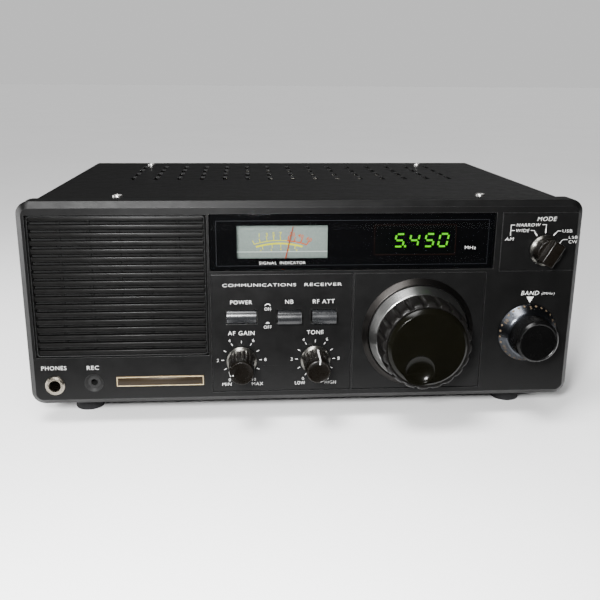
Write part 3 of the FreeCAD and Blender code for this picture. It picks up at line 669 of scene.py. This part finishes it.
def meter_face():
    """The card's arcs, ticks and figures, all with a painted glow. The printed arcs are flatter than the
    needle's sweep.
    """
    y = front("meter_scale")
    cx, cz = -14.0, 43.5
    main = 43.9
    upper = main + 1.7

    def on_arc(x, r):
        """The point on the arc of radius r where the ray to x on the main arc cuts it."""
        a = asin((x - cx) / main)
        return cx + r * sin(a), cz + r * cos(a)

    def arc(x0, x1, r):
        return [on_arc(x0 + (x1 - x0) * step / 24, r) for step in range(25)]

    def fan(x, r, length, tilt):
        """A tick that starts on the arc and leans outwards by tilt degrees."""
        foot = on_arc(x, r)
        a = radians(tilt)
        return [foot, (foot[0] + length * sin(a), foot[1] + length * cos(a))]

    split = -10.0
    lines("scale_arc", [arc(-26.6, -1.4, main)], y, 0.95, "scale_card", scale_yellow)
    low_side = [arc(-27.2, split, upper)]
    for x, tilt in ((-26.9, -28), (-23.8, -18), (-20.3, -10), (-16.8, -4), (-13.4, 0)):
        low_side.append(fan(x, upper, 2.3, tilt))
    high_side = [arc(split, 0.4, upper)]
    for x, tilt in ((-9.4, 6), (-6.2, 14), (-3.0, 24), (0.2, 34)):
        high_side.append(fan(x, upper, 2.6, tilt))
    below = ((-23.4, -16), (-18.0, -7), (-13.2, 0), (-9.0, 7), (-5.2, 14))
    hanging = [fan(x, main, -2.2, tilt) for x, tilt in below]
    lines("scale_marks", low_side + hanging, y, 0.42, "scale_card", scale_yellow)
    lines("scale_marks_high", high_side, y, 0.5, "scale_card", scale_red)
    for index, (text, x) in enumerate((("1", -24.8), ("3", -20.8), ("5", -17.1), ("7", -13.3))):
        words(f"scale_figure_{index}", text, x, 92.6 - abs(x + 14.0) * 0.06, 2.3, y, "scale_card",
              material=scale_yellow, bold=0.02)
    above_nine = (("20", -7.0, 92.4, 8.0), ("40", -2.4, 91.4, 20.0), ("60", 2.2, 89.6, 30.0))
    for index, (text, x, z, tilt) in enumerate(above_nine):
        words(f"scale_high_{index}", text, x, z, 2.1, y, "scale_card", material=scale_red, bold=0.02,
              turn=tilt)
    for index, (text, x) in enumerate((("0", -24.0), ("2", -18.3), ("4", -13.2), ("6", -8.8), ("8", -4.6))):
        words(f"scale_low_{index}", text, x, 84.2 - abs(x + 14.0) * 0.06, 1.3, y, "scale_card",
              material=scale_yellow, bold=0.01)
    # the ledge line glows too: painted light
    ledge = 82.9
    lines("scale_ledge", [[(-38.5, ledge), (13.2, ledge)]], y, 0.55, "scale_card", scale_line)


def needle():
    """Thin tapered blade with its hub and balance weight."""
    px, pz = needle_pivot
    bm = bmesh.new()
    blade = block(bm, px - 0.42, px + 0.42, 7.05, 7.4, pz - 4.0, pz + 35.2)
    for vert in blade:
        if vert.co.z > spot(0, 0, pz + 20).z:
            vert.co.x = spot(px, 0, 0).x + (vert.co.x - spot(px, 0, 0).x) * 0.45
    block(bm, px - 1.5, px + 1.5, 7.0, 7.95, pz - 4.3, pz - 2.1)
    rings = lathe(bm, needle_pivot, rounded([(2.1, 6.6), (2.1, 8.3)], 0.1), 40)
    cap_both(bm, rings)
    swing(bm, bm.verts[:], needle_pivot, needle_rest)
    piece("needle_blade", bm, "needle_paint", "needle", "meter_needle")


SEGMENTS = {  # which strokes of the seven each figure lights, a to g
    "0": "abcdef", "4": "bcfg", "5": "acdfg",
}


def digits():
    """Seven-segment figures on the front of the tube, with the unlit strokes just visible."""
    y = front("display_tube")
    low, high = 86.0, 92.8
    tall = high - low
    wide = 4.6
    stroke = 0.95
    lean = 0.19
    lit, unlit = bmesh.new(), bmesh.new()
    for text, left in (("5", 47.9), ("4", 55.9), ("5", 64.3), ("0", 71.9)):
        half = tall / 2
        ends = {"a": ((0, tall), (wide, tall)), "b": ((wide, tall), (wide, half)),
                "c": ((wide, half), (wide, 0)), "d": ((0, 0), (wide, 0)), "e": ((0, half), (0, 0)),
                "f": ((0, tall), (0, half)), "g": ((0, half), (wide, half))}
        for key, (one, two) in ends.items():
            way = (Vector(two) - Vector(one)).normalized()
            first = Vector(one) + way * 0.62
            last = Vector(two) - way * 0.62
            path = [(left + p.x + p.y * lean, low + p.y) for p in (first, last)]
            bm = lit if key in SEGMENTS[text] else unlit
            tube_line(bm, path, y - 0.12, y + 0.02, stroke if bm is lit else stroke * 0.8)
    dot = 53.9
    tube_line(lit, [(dot - 0.5, low + 0.1), (dot + 0.6, low + 0.1)], y - 0.12, y + 0.02, 1.1)
    piece("digits_lit", lit, "tube_glass", "receiver", material=digit_green)
    piece("digits_unlit", unlit, "tube_glass", "receiver", material=digit_off)


window()
lens_edge()
meter_face()
needle()
digits()
window_face = front("display_window")
words("legend_mhz", "MHz", 88.7, 86.1, 1.9, window_face, "mask_film", width=6.0)
words("legend_meter", "SIGNAL", -20.4, 78.6, 1.6, window_face, "mask_film", width=9.4)
words("legend_meter_b", "INDICATOR", -7.2, 78.6, 1.6, window_face, "mask_film", width=13.6)


# ---- tuning knob ----
def tuning_ring():
    outline = [(29.0, 0.4), (31.1, 0.4), (31.0, -0.15), (28.4, -2.6), (27.9, -2.6), (27.9, 0.4), (29.0, 0.4)]
    turned("ring_spun", tuning_at, outline, "ring_metal", "receiver", "tuning_ring", sides=192)


def tuning_skirt():
    outline = [(15.0, -9.15), (24.2, -9.2), (24.7, -8.9), (27.3, -2.9), (27.4, -0.7), (26.0, -0.4),
               (3.05, -0.4), (3.05, -20.9), (8.9, -20.9), (8.95, -9.2), (15.0, -9.15)]
    turned("skirt_spun", tuning_at, outline, "bright_aluminium", "tuning", "tuning_skirt", sides=192,
           corner=0.2)


def tuning_grip():
    """Rubber sleeve: twenty broad lugs parted by narrow rounded notches that run out near both ends."""
    lugs = 20
    outline = [(9.1, -9.4), (23.6, -9.4), (24.35, -9.7), (24.55, -10.6), (24.5, -12.0), (24.45, -15.0),
               (24.4, -18.0), (24.3, -20.6), (24.1, -22.0), (23.8, -23.3), (23.2, -24.5), (22.2, -25.2),
               (21.45, -25.0), (21.45, -21.4), (9.1, -21.2)]
    depth = [0, 0, 0.2, 0.7, 1, 1, 1, 1, 1, 0.9, 0.55, 0.1, 0, 0, 0]

    def notched(angle, row):
        phase = (angle * lugs / TURN + 0.33) % 1.0
        away = min(phase, 1 - phase) * TURN / lugs * 24.4
        groove = max(0.0, 1 - (away / 1.35) ** 2) ** 0.5 if away < 1.35 else 0.0
        crown = 0.006 * cos(TURN * phase)
        return 1 - depth[row] * (0.042 * groove + crown)

    bm = bmesh.new()
    rings = lathe(bm, tuning_at, outline, 480, notched)
    bridge(bm, rings[-1], rings[0])
    piece("grip_lugs", bm, "grip_rubber", "tuning", "tuning_grip", smooth=50)


def tuning_cap():
    """Front disc with a fine chamfer and a dished finger hole with a raised lip."""
    sides = 128
    dish_at = (tuning_at[0] - 4.1, tuning_at[1] - 11.4)
    face_y = front("tuning_cap")
    rim = rounded([(21.35, -21.3), (21.35, -25.1), (19.3, face_y + 0.12), (18.6, face_y + 0.1)], 0.3)
    bm = bmesh.new()
    rings = lathe(bm, tuning_at, rim, sides)
    bm.faces.new(rings[0])
    dish = [(8.9, 0.1), (8.5, 0.02), (8.2, 0.0), (7.95, 0.08), (7.7, 0.4), (6.9, 1.0), (5.6, 1.65),
            (4.2, 2.15), (2.6, 2.5), (1.2, 2.65), (0.3, 2.7)]
    inner = [circle(bm, dish_at, radius, face_y + depth, sides) for radius, depth in dish]
    steps = 5
    outer = rings[-1]
    between = []
    for step in range(1, steps):
        t = step / steps
        between.append([bm.verts.new(one.co * (1 - t) + two.co * t) for one, two in zip(outer, inner[0])])
    rows = [outer] + between + inner
    for one, two in zip(rows, rows[1:]):
        bridge(bm, one, two)
    bm.faces.new(rows[-1])
    piece("cap_disc", bm, "cap_plastic", "tuning", "tuning_cap", smooth=30)


tuning_ring()
tuning_skirt()
tuning_grip()
tuning_cap()


# ---- small knobs ----
def ribbon(bm, centre, path, width, degrees, proud=0.06):
    """A painted line over a knob: path lists (radius, y) along the knob's outline."""
    rows = []
    angle = radians(degrees)
    out = Vector((sin(angle), 0, cos(angle)))
    side = Vector((cos(angle), 0, -sin(angle)))
    for index, (radius, y) in enumerate(path):
        before = Vector(path[max(index - 1, 0)])
        after = Vector(path[min(index + 1, len(path) - 1)])
        way = (after - before).normalized()
        lift = Vector((-way.y, way.x)) if way.y < 0 else Vector((way.y, -way.x))
        if abs(way.y) < 1e-6:
            lift = Vector((0, -1))
        for height in (-0.35, proud):
            r, depth = radius + lift.x * height, y + lift.y * height
            base = spot(centre[0], depth, centre[1]) + out * r * MM
            rows.append([bm.verts.new(base + side * width / 2 * MM * s) for s in (-1, 1)])
    for index in range(0, len(rows) - 2, 2):
        low, high, low2, high2 = rows[index:index + 4]
        bm.faces.new((high[0], high[1], high2[1], high2[0]))
        bm.faces.new((low[0], low[1], low2[1], low2[0]))
        bm.faces.new((low[0], high[0], high2[0], low2[0]))
        bm.faces.new((low[1], high[1], high2[1], low2[1]))
    for low, high in ((rows[0], rows[1]), (rows[-2], rows[-1])):
        bm.faces.new((low[0], low[1], high[1], high[0]))


def small_knob(name, body, centre, pointing, node):
    """Silver skirt ring, fluted dark body, smooth shoulder and a painted pointer."""
    flutes = 18
    sides = 216
    reach = front(node)
    skirt = [(6.0, -1.0), (8.25, -1.0), (8.25, -2.0), (7.2, -3.0), (6.6, -3.05), (3.1, -3.05), (3.1, -1.0),
             (6.0, -1.0)]
    turned(name + "_skirt", centre, skirt, "knob_plastic", body, node, corner=0.2,
           material=knob_silver[name])
    outline = [(3.1, -2.9), (6.75, -2.9), (6.9, -3.4), (6.9, -5.0), (6.85, -9.0), (6.8, -13.0),
               (6.75, -14.8), (6.7, -15.6), (6.45, -18.0), (6.25, reach + 0.5), (6.1, reach + 0.15),
               (5.7, reach)]
    depth = [0, 0.5, 1, 1, 1, 1, 0.8, 0.1, 0, 0, 0, 0]

    def fluted(angle, row):
        phase = (angle * flutes / TURN + 0.5) % 1.0
        away = abs(phase - 0.5) * 2
        return 1 - 0.075 * depth[row] * max(0.0, 1 - (away / 0.62) ** 2)

    bm = bmesh.new()
    rings = lathe(bm, centre, outline, sides, fluted, radians(pointing))
    bm.faces.new(rings[0])
    for radius, depth in ((5.5, 0.12), (2.5, 0.2)):
        rings.append(circle(bm, centre, radius, reach + depth, sides))
    for one, two in zip(rings[-3:], rings[-2:]):
        bridge(bm, one, two)
    bm.faces.new(rings[-1])
    piece(name + "_body", bm, "knob_plastic", body, smooth=40)
    bm = bmesh.new()
    path = [(6.85, -4.2), (6.82, -9.0), (6.78, -15.2), (6.66, -16.2), (6.45, -18.0), (6.25, reach + 0.45),
            (5.9, reach + 0.05), (4.3, reach + 0.14)]
    ribbon(bm, centre, path, 0.7, pointing)
    piece(name + "_pointer", bm, "knob_plastic", body, material=legend_white, smooth=50)


def mode_selector():
    """Silver skirt, round base and a raised bar with rounded edges and a painted end line."""
    skirt = [(6.0, -1.0), (8.45, -1.0), (8.45, -2.2), (7.3, -3.1), (3.1, -3.2), (3.1, -1.0), (6.0, -1.0)]
    turned("mode_skirt", mode_at, skirt, "knob_plastic", "mode", "mode_knob", corner=0.2,
           material=knob_silver["mode"])
    base = [(3.1, -3.0), (6.9, -3.0), (6.75, -8.4), (6.3, -9.0), (5.0, -9.05)]
    bm = bmesh.new()
    rings = lathe(bm, mode_at, rounded(base, 0.3), 96)
    cap_both(bm, rings)
    mode_half = 3.7
    bar = block(bm, mode_at[0] - mode_half, mode_at[0] + mode_half, front("mode_knob"), -8.0,
                mode_at[1] - 6.75, mode_at[1] + 6.75)
    edges = {edge for vert in bar for edge in vert.link_edges}
    soften(bm, list(edges), 1.0, 4)
    near = [v for v in bm.verts if v.co.y < spot(0, -9.3, 0).y]
    for vert in near:
        lean = 1 - 0.06 * (spot(0, -9.3, 0).y - vert.co.y) / (4.7 * MM)
        vert.co.x = spot(mode_at[0], 0, 0).x + (vert.co.x - spot(mode_at[0], 0, 0).x) * lean
    swing(bm, bm.verts[:], mode_at, mode_rest)
    piece("mode_bar", bm, "knob_plastic", "mode", smooth=40)
    bm = bmesh.new()
    tip = front("mode_knob")
    path = [(6.72, -9.6), (6.73, tip + 3.0), (6.72, tip + 1.2), (6.5, tip + 0.45)]
    ribbon(bm, mode_at, path, 0.8, mode_rest, 0.05)
    piece("mode_pointer", bm, "knob_plastic", "mode", material=legend_white, smooth=50)


def band_selector():
    """Conical numbered dial and the knurled knob in front of it."""
    low_r, high_r = (16.45, -1.6), (13.0, -6.0)
    outline = [(12.0, -0.8), (16.55, -0.8), (16.5, -1.5), (13.1, -5.9), (12.4, -6.35), (3.1, -6.35),
               (3.1, -0.8), (12.0, -0.8)]
    turned("dial_cone", band_at, outline, "dial_paint", "band", "band_dial", sides=192, corner=0.2)

    def on_cone(share, degrees, proud):
        slope = Vector((low_r[0] - high_r[0], low_r[1] - high_r[1])).normalized()
        lift = Vector((-slope.y, slope.x)) if slope.x < 0 else Vector((slope.y, -slope.x))
        r = low_r[0] + (high_r[0] - low_r[0]) * share + abs(lift.x) * proud
        y = low_r[1] + (high_r[1] - low_r[1]) * share - abs(lift.y) * proud
        return around(band_at, r, radians(degrees), y)

    bm = bmesh.new()
    for number in range(30):
        if number % 5 == 0:
            continue
        rows = []
        for proud in (-0.05, 0.05):
            ring = []
            for corner in range(12):
                c = TURN * corner / 12
                place = on_cone(0.2 + 0.11 * cos(c), number * 12 + 2.2 * sin(c), proud)
                ring.append(bm.verts.new(place))
            rows.append(ring)
        bridge(bm, rows[0], rows[1])
        cap_both(bm, rows)
    piece("dial_dots", bm, "dial_paint", "band", material=dial_ink, smooth=30)
    for index, text in enumerate(("5", "0", "25", "20", "15", "10")):
        dial_figure(f"dial_figure_{index}", text, index * 60.0, low_r, high_r)
    ribs = 60
    reach = front("band_knob")
    shape = [(3.1, -6.4), (11.3, -6.4), (11.75, -7.2), (11.75, -8.2), (11.75, -12.0), (11.7, -16.6),
             (11.6, -17.3), (11.3, -17.9), (10.7, -18.45), (10.3, reach), (9.9, reach + 0.12),
             (9.6, reach + 0.4)]
    depth = [0, 0, 0, 1, 1, 1, 0.2, 0, 0, 0, 0, 0]

    def knurled(angle, row):
        return 1 - 0.02 * depth[row] * (0.5 + 0.5 * cos(angle * ribs))

    bm = bmesh.new()
    rings = lathe(bm, band_at, shape, 480, knurled)
    cap_both(bm, rings)
    piece("band_grip", bm, "knob_plastic", "band", "band_knob", material=band_paint, smooth=28)


def dial_figure(name, text, degrees, low_r, high_r):
    """A figure printed on the dial's cone, its foot towards the knob."""
    thing = words(name, text, 0, 0, 2.0, 0, "dial_paint", "band", dial_ink, bold=0.04, rise=0.06)
    slope = Vector((high_r[0] - low_r[0], high_r[1] - low_r[1])).normalized()
    a = radians(degrees)
    out = Vector((sin(a), 0, cos(a)))
    along = Vector((cos(a), 0, -sin(a)))
    inward = out * slope.x + Vector((0, slope.y, 0))
    normal = inward.cross(along)
    if normal.y > 0:
        normal = -normal
    share = 0.42
    base = spot(band_at[0], low_r[1] + (high_r[1] - low_r[1]) * share, band_at[1])
    base = base + out * (low_r[0] + (high_r[0] - low_r[0]) * share) * MM
    centre = spot(0, 0, 0)
    for vert in thing.data.vertices:
        local = vert.co - centre
        vert.co = base + along * local.x - inward * local.z + normal * -local.y


dial_ink = textured("dial_ink", (0.075, 0.055, 0.035), 0.6, 1800, 0.00003, 0.2)
small_knob("gain", "gain", gain_at, gain_rest, "gain_knob")
small_knob("tone", "tone", tone_at, tone_rest, "tone_knob")
mode_selector()
band_selector()


# ---- buttons ----
def button(node, body):
    """A key whose front is one crowned curve, with softened ends, and its stem."""
    x0, x1, z0, z1 = span(node)
    y0 = front(node)
    middle_z = (z0 + z1) / 2
    crown = 52
    radius = (z1 - z0) / 2 / sin(radians(crown))
    section = [(y0 + radius * (1 - cos(radians(a))), middle_z + radius * sin(radians(a)))
               for a in range(-crown, crown + 1, 4)]
    section += [(y0 + 8.4, z1), (y0 + 8.4, z0)]
    bm = bmesh.new()
    ends = [[bm.verts.new(spot(x, y, z)) for y, z in section] for x in (x0, x1)]
    cap_both(bm, ends)
    bridge(bm, ends[0], ends[1])
    rims = [edge for edge in bm.edges if edge.verts[0].co.x == edge.verts[1].co.x]
    soften(bm, rims, 0.45, 3)
    block(bm, x0 + 3.0, x1 - 3.0, y0 + 8.4, y0 + 13.6, middle_z - 1.9, middle_z + 1.9)
    piece(node + "_key", bm, "button_plastic", body, node, smooth=40)


for button_body in ("power", "noise", "attenuator"):
    button(button_body + "_button", button_body)


# ---- printed legends ----
def legend(name, text, x, z, height, width, face=panel_face, **more):
    words("legend_" + name, text, x, z, height, face, "panel_paint", width=width, **more)


# For each face and slant: name, text, x, z, height and width.
legends = (
    (panel_face, 0.0, (
        ("header_a", "COMMUNICATIONS", -25.1, 66.6, 1.75, 39.4),
        ("header_b", "RECEIVER", 9.3, 66.6, 1.75, 20.2), ("power", "POWER", -34.95, 57.1, 2.3, 11.6),
        ("noise", "NB", -9.0, 57.1, 2.4, 4.4), ("attenuator", "RF ATT", 9.75, 57.1, 2.4, 11.8),
        ("gain", "AF GAIN", -35.1, 39.7, 2.5, 14.4), ("tone", "TONE", 5.3, 39.6, 2.5, 9.2),
        ("on", "ON", -20.7, 53.2, 1.9, 3.4), ("off", "OFF", -20.7, 42.9, 1.9, 4.2),
    )),
    (0.0, 0.0, (
        ("phones", "PHONES", -136.3, 21.6, 2.4, 13.2), ("recorder", "REC", -115.6, 21.4, 2.4, 6.3),
    )),
    (0.1, 0.16, (
        ("mode", "MODE", 129.5, 101.5, 2.4, 10.6), ("narrow", "NARROW", 119.6, 98.3, 1.8, 13.2),
        ("wide", "WIDE", 116.6, 95.3, 1.8, 7.4), ("am", "AM", 109.6, 90.7, 1.9, 4.9),
    )),
    (0.1, 0.0, (
        ("usb", "USB", 141.3, 94.9, 1.8, 5.4), ("lsb", "LSB", 144.9, 91.4, 1.7, 4.8),
        ("cw", "CW", 144.9, 88.9, 1.8, 4.6),
    )),
    (0.0, 0.2, (
        ("band", "BAND", 123.7, 60.4, 2.5, 10.0),
    )),
    (0.0, 0.0, (
        ("band_unit", "(MHz)", 133.9, 59.9, 1.5, 7.2),
    )),
)
for face, slant, entries in legends:
    for entry in entries:
        legend(*entry, face, slant=slant)


def knob_scale(name, centre, low_word, high_word):
    """Ticks every 30 degrees, even figures beside every other tick, and a word at each end."""
    cx, cz = centre
    ticks = []
    for number in range(11):
        a = radians(-150 + number * 30)
        ticks.append([(cx + r * sin(a), cz + r * cos(a)) for r in (9.6, 11.1)])
    lines(name + "_ticks", ticks, panel_face, 0.3, "panel_paint")
    for number in range(0, 11, 2):
        a = radians(-150 + number * 30)
        r = 13.3 if number in (0, 10) else 13.0
        x, z = cx + r * sin(a), cz + r * cos(a)
        words(f"{name}_figure_{number}", str(number), x, z, 1.9, panel_face)
    legend(name + "_low", low_word, cx - 8.3, cz - 14.1, 2.0, 5.0 if low_word == "MIN" else 5.6)
    legend(name + "_high", high_word, cx + 8.6, cz - 14.1, 2.0, 6.2)


knob_scale("gain_scale", gain_at, "MIN", "MAX")
knob_scale("tone_scale", tone_at, "LOW", "HIGH")


def panel_marks():
    """Mode leaders, the band index and the press symbols."""
    face = 0.1
    tips = [(124.7, 92.4), (129.3, 93.9), (133.8, 92.4), (136.6, 85.9)]
    joints = [(123.4, 94.2), (129.3, 96.2), (135.1, 93.9), (137.9, 88.4)]
    leaders = [[tips[0], (122.9, 95.3), (121.0, 95.3)], [tips[1], (129.4, 98.4), (127.2, 98.4)],
               [tips[2], (136.0, 94.9), (137.8, 94.9)],
               [tips[3], (138.6, 89.6), (139.6, 90.2), (141.8, 90.2)],
               [(112.1, 98.3), (110.0, 98.3), (110.0, 92.5)], [(112.1, 95.3), (110.0, 95.3)]]
    lines("mode_leaders", leaders, face, 0.26, "bezel_plastic")
    lines("mode_leader_tips", list(map(list, zip(tips, joints))), face, 0.55, "bezel_plastic", rise=0.06)
    bm = bmesh.new()
    tri = [(band_at[0] - 2.0, 58.3), (band_at[0] + 2.0, 58.3), (band_at[0], 54.9)]
    rows = [[bm.verts.new(spot(x + 0.4, y, z)) for x, z in tri] for y in (-0.05, 0.02)]
    for row in rows:
        bm.faces.new(row)
    bridge(bm, rows[0], rows[1])
    piece("band_index", bm, "bezel_plastic", "receiver", material=legend_white)
    x = -20.7
    dome = [(x + 1.5 * sin(radians(a)), 54.6 + 1.4 * cos(radians(a)))
            for a in range(-70, 71, 14)]
    lines("press_in_mark", [dome], panel_face, 0.42, "panel_paint")
    hump = [(x + 0.75 * sin(radians(a)), 44.9 + 0.6 * cos(radians(a)))
            for a in range(-90, 91, 15)]
    lines("press_out_mark", [hump, [(x - 0.7, 45.1), (x + 0.7, 45.1)]], panel_face, 0.6, "panel_paint")


panel_marks()


# ---- badge: a plain bordered plate, with no name ----
def badge():
    x0, x1, z0, z1 = span("badge_plate")
    y = front("badge_plate")
    inset = 0.9
    slab("badge_field", (x0 + inset, x1 - inset, y - 0.02, y + 0.1, z0 + inset, z1 - inset), "badge_metal",
         "receiver", edge=0.04, segments=1, material=badge_field)
    left, right, low, high = x0 + inset / 2, x1 - inset / 2, z0 + inset / 2, z1 - inset / 2
    border = [(left, low), (left, high), (right, high), (right, low), (left, low)]
    lines("badge_border", [border], y, 0.34, "badge_metal", badge_gold, 0.06)


badge()


# ---- feet, aerial socket and rear legends ----
def feet():
    """Moulded feet: stepped flank, rolled edge and a screw recess underneath."""
    bm = bmesh.new()
    low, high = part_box("rubber_feet")
    sides = 64
    inset = 9.0
    floor = (low.z - bezel_low.z) / MM
    top = (high.z - bezel_low.z) / MM
    outline = rounded([(9.0, top), (8.8, top - 4), (8.5, top - 4.3), (8.3, floor + 4.0), (8.2, floor + 3.6),
                       (7.9, floor), (4.6, floor), (4.1, floor + 1.2), (4.0, floor + 6.0)], 0.5)
    for x in (low.x / MM + inset, high.x / MM - inset):
        for y in ((low.y - bezel_low.y) / MM + inset, (high.y - bezel_low.y) / MM - inset):
            rows = []
            for radius, z in outline:
                angles = [TURN * side / sides for side in range(sides)]
                rows.append([bm.verts.new(spot(x + radius * sin(a), y + radius * cos(a), z))
                             for a in angles])
            for one, two in zip(rows, rows[1:]):
                bridge(bm, one, two)
            cap_both(bm, rows)
    piece("feet_moulded", bm, "foot_rubber", "receiver", "rubber_feet", smooth=45)


def aerial():
    """Square flange, threaded barrel and insulator."""
    x0, x1, z0, z1 = span("aerial_socket")
    at = middle("aerial_socket")
    back = (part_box("aerial_socket")[1].y - bezel_low.y) / MM
    base = back - 12.0
    slab("aerial_flange", (x0, x1, base, base + 2.0, z0, z1), "nickel_plate", "receiver",
         "aerial_socket", edge=0.4)
    thread = [(7.2, base + 1.9)]
    pitch = 1.06
    count = 8
    for number in range(count):
        y = base + 2.4 + number * pitch
        thread += [(7.35, y), (7.94, y + pitch * 0.45), (7.94, y + pitch * 0.55)]
    thread += [(7.2, back - 0.3), (6.9, back), (5.7, back), (5.5, back - 0.4), (5.5, base + 3.0)]
    thread.append((7.2, base + 1.9))
    turned("aerial_barrel", at, thread, "nickel_plate", "receiver", corner=0, sides=96)
    plug = [(2.0, back - 9.0), (2.0, back - 0.8), (2.3, back - 0.6), (5.2, back - 0.6), (5.45, back - 0.9),
            (5.45, back - 9.0), (2.0, back - 9.0)]
    turned("aerial_insulator", at, plug, "nickel_plate", "receiver", corner=0.1, sides=64, material=insulator)


def rear_words():
    back = 213.75
    captions = (("aerial", "50 OHM", 112, 66), ("wire", "ANT  GND", 62, 99), ("wire_b", "HI-Z  GND", 30, 99),
                ("speaker", "EXT SP", -78, 46.5), ("remote", "REMOTE", -54, 46.5),
                ("mains", "AC IN", -116, 58))
    for name, text, x, z in captions:
        words("rear_" + name, text, x, z, 2.6, back, "rear_paint", bold=0.05, back=True)


feet()
aerial()
rear_words()


# ---- stage ----
def stage_object(name, bm, mat):
    mesh = bpy.data.meshes.new(name)
    bm.to_mesh(mesh)
    bm.free()
    mesh.materials.append(mat)
    thing = bpy.data.objects.new(name, mesh)
    bpy.context.scene.collection.objects.link(thing)
    return thing


def floor():
    mat, tree, bsdf = shader("stage_floor", (0.86, 0.86, 0.86), 0.6)
    cloud = noise(tree, place_node(tree), 3, 3)
    tree.links.new(tint(tree, cloud, (0.85, 0.85, 0.85), (0.88, 0.88, 0.88)), bsdf.inputs["Base Color"])
    bm = bmesh.new()
    bmesh.ops.create_grid(bm, x_segments=8, y_segments=8, size=30.0)
    ground = stage_object("stage_floor", bm, mat)


def aim(thing, target):
    thing.rotation_euler = (Vector(target) - thing.location).to_track_quat("-Z", "Y").to_euler()


def lamp(name, kind, place, target, power, size):
    data = bpy.data.lights.new(name, kind)
    data.energy = power
    if kind == "AREA":
        data.shape = "SQUARE"
        data.size = size
    else:
        data.angle = size
    thing = bpy.data.objects.new(name, data)
    thing.location = place
    bpy.context.scene.collection.objects.link(thing)
    aim(thing, target)
    thing.visible_camera = False


def flag():
    """A black card that no camera sees: it keeps the pale floor out of the front's reflections."""
    mat = shader("flag_black", (0.0, 0.0, 0.0), 1.0, Specular_IOR_Level=0.0)[0]
    bm = bmesh.new()
    corners = ((-900, -1500), (900, -1500), (900, -60), (-900, -60))
    under = 2 * MM
    bm.faces.new([bm.verts.new(Vector((spot(x, y, 0).x, spot(x, y, 0).y, under))) for x, y in corners])
    card_thing = stage_object("flag", bm, mat)
    card_thing.visible_camera = False
    card_thing.visible_shadow = False
    card_thing.visible_diffuse = False


def sky():
    """Soft room light, which the camera itself sees as a pale backdrop."""
    world = bpy.data.worlds.new("studio")
    bpy.context.scene.world = world
    world.use_nodes = True
    tree = world.node_tree
    tree.nodes.clear()
    out = add(tree, "OutputWorld")
    mix = add(tree, "MixShader")
    path = add(tree, "LightPath")
    shades = []
    for strength in (0.06, 0.73):
        shades.append(add(tree, "Background", Color=(1, 1, 1, 1), Strength=strength))
    tree.links.new(path.outputs["Is Camera Ray"], mix.inputs["Fac"])
    tree.links.new(shades[0].outputs[0], mix.inputs[1])
    tree.links.new(shades[1].outputs[0], mix.inputs[2])
    tree.links.new(mix.outputs[0], out.inputs["Surface"])


def camera():
    """Just left of the middle, above the receiver and looking slightly down and to the right."""
    yaw, pitch, roll = radians(4.2097), radians(15.801), radians(0.3993)
    ahead = Vector((sin(yaw) * cos(pitch), cos(yaw) * cos(pitch), -sin(pitch)))
    right = Vector((cos(yaw), -sin(yaw), 0))
    up = right.cross(ahead)
    tilted = right * cos(roll) + up * sin(roll)
    upward = up * cos(roll) - right * sin(roll)
    data = bpy.data.cameras.new("camera")
    data.sensor_width = 36.0
    data.lens = 46.44
    thing = bpy.data.objects.new("camera", data)
    matrix = Matrix((tilted, upward, -ahead)).transposed().to_4x4()
    matrix.translation = spot(-32.733, -400.713, 171.831)
    thing.matrix_world = matrix
    bpy.context.scene.collection.objects.link(thing)
    bpy.context.scene.camera = thing


floor()
flag()
sky()
camera()
lamp("key", "AREA", spot(-95, -405, 222), spot(-40, 0, 60), 7.5, 0.07)
lamp("overhead", "AREA", spot(-150, -190, 620), spot(-70, 0, 110), 4.5, 0.26)
lamp("side_fill", "AREA", spot(-620, 60, 160), spot(-150, 0, 60), 3.2, 0.35)
lamp("back_light", "SUN", spot(500, 1200, 1500), spot(0, 100, 0), 0.9, radians(30))
lamp("daylight", "SUN", spot(-500, -300, 1800), spot(0, 100, 0), 2.3, radians(25))
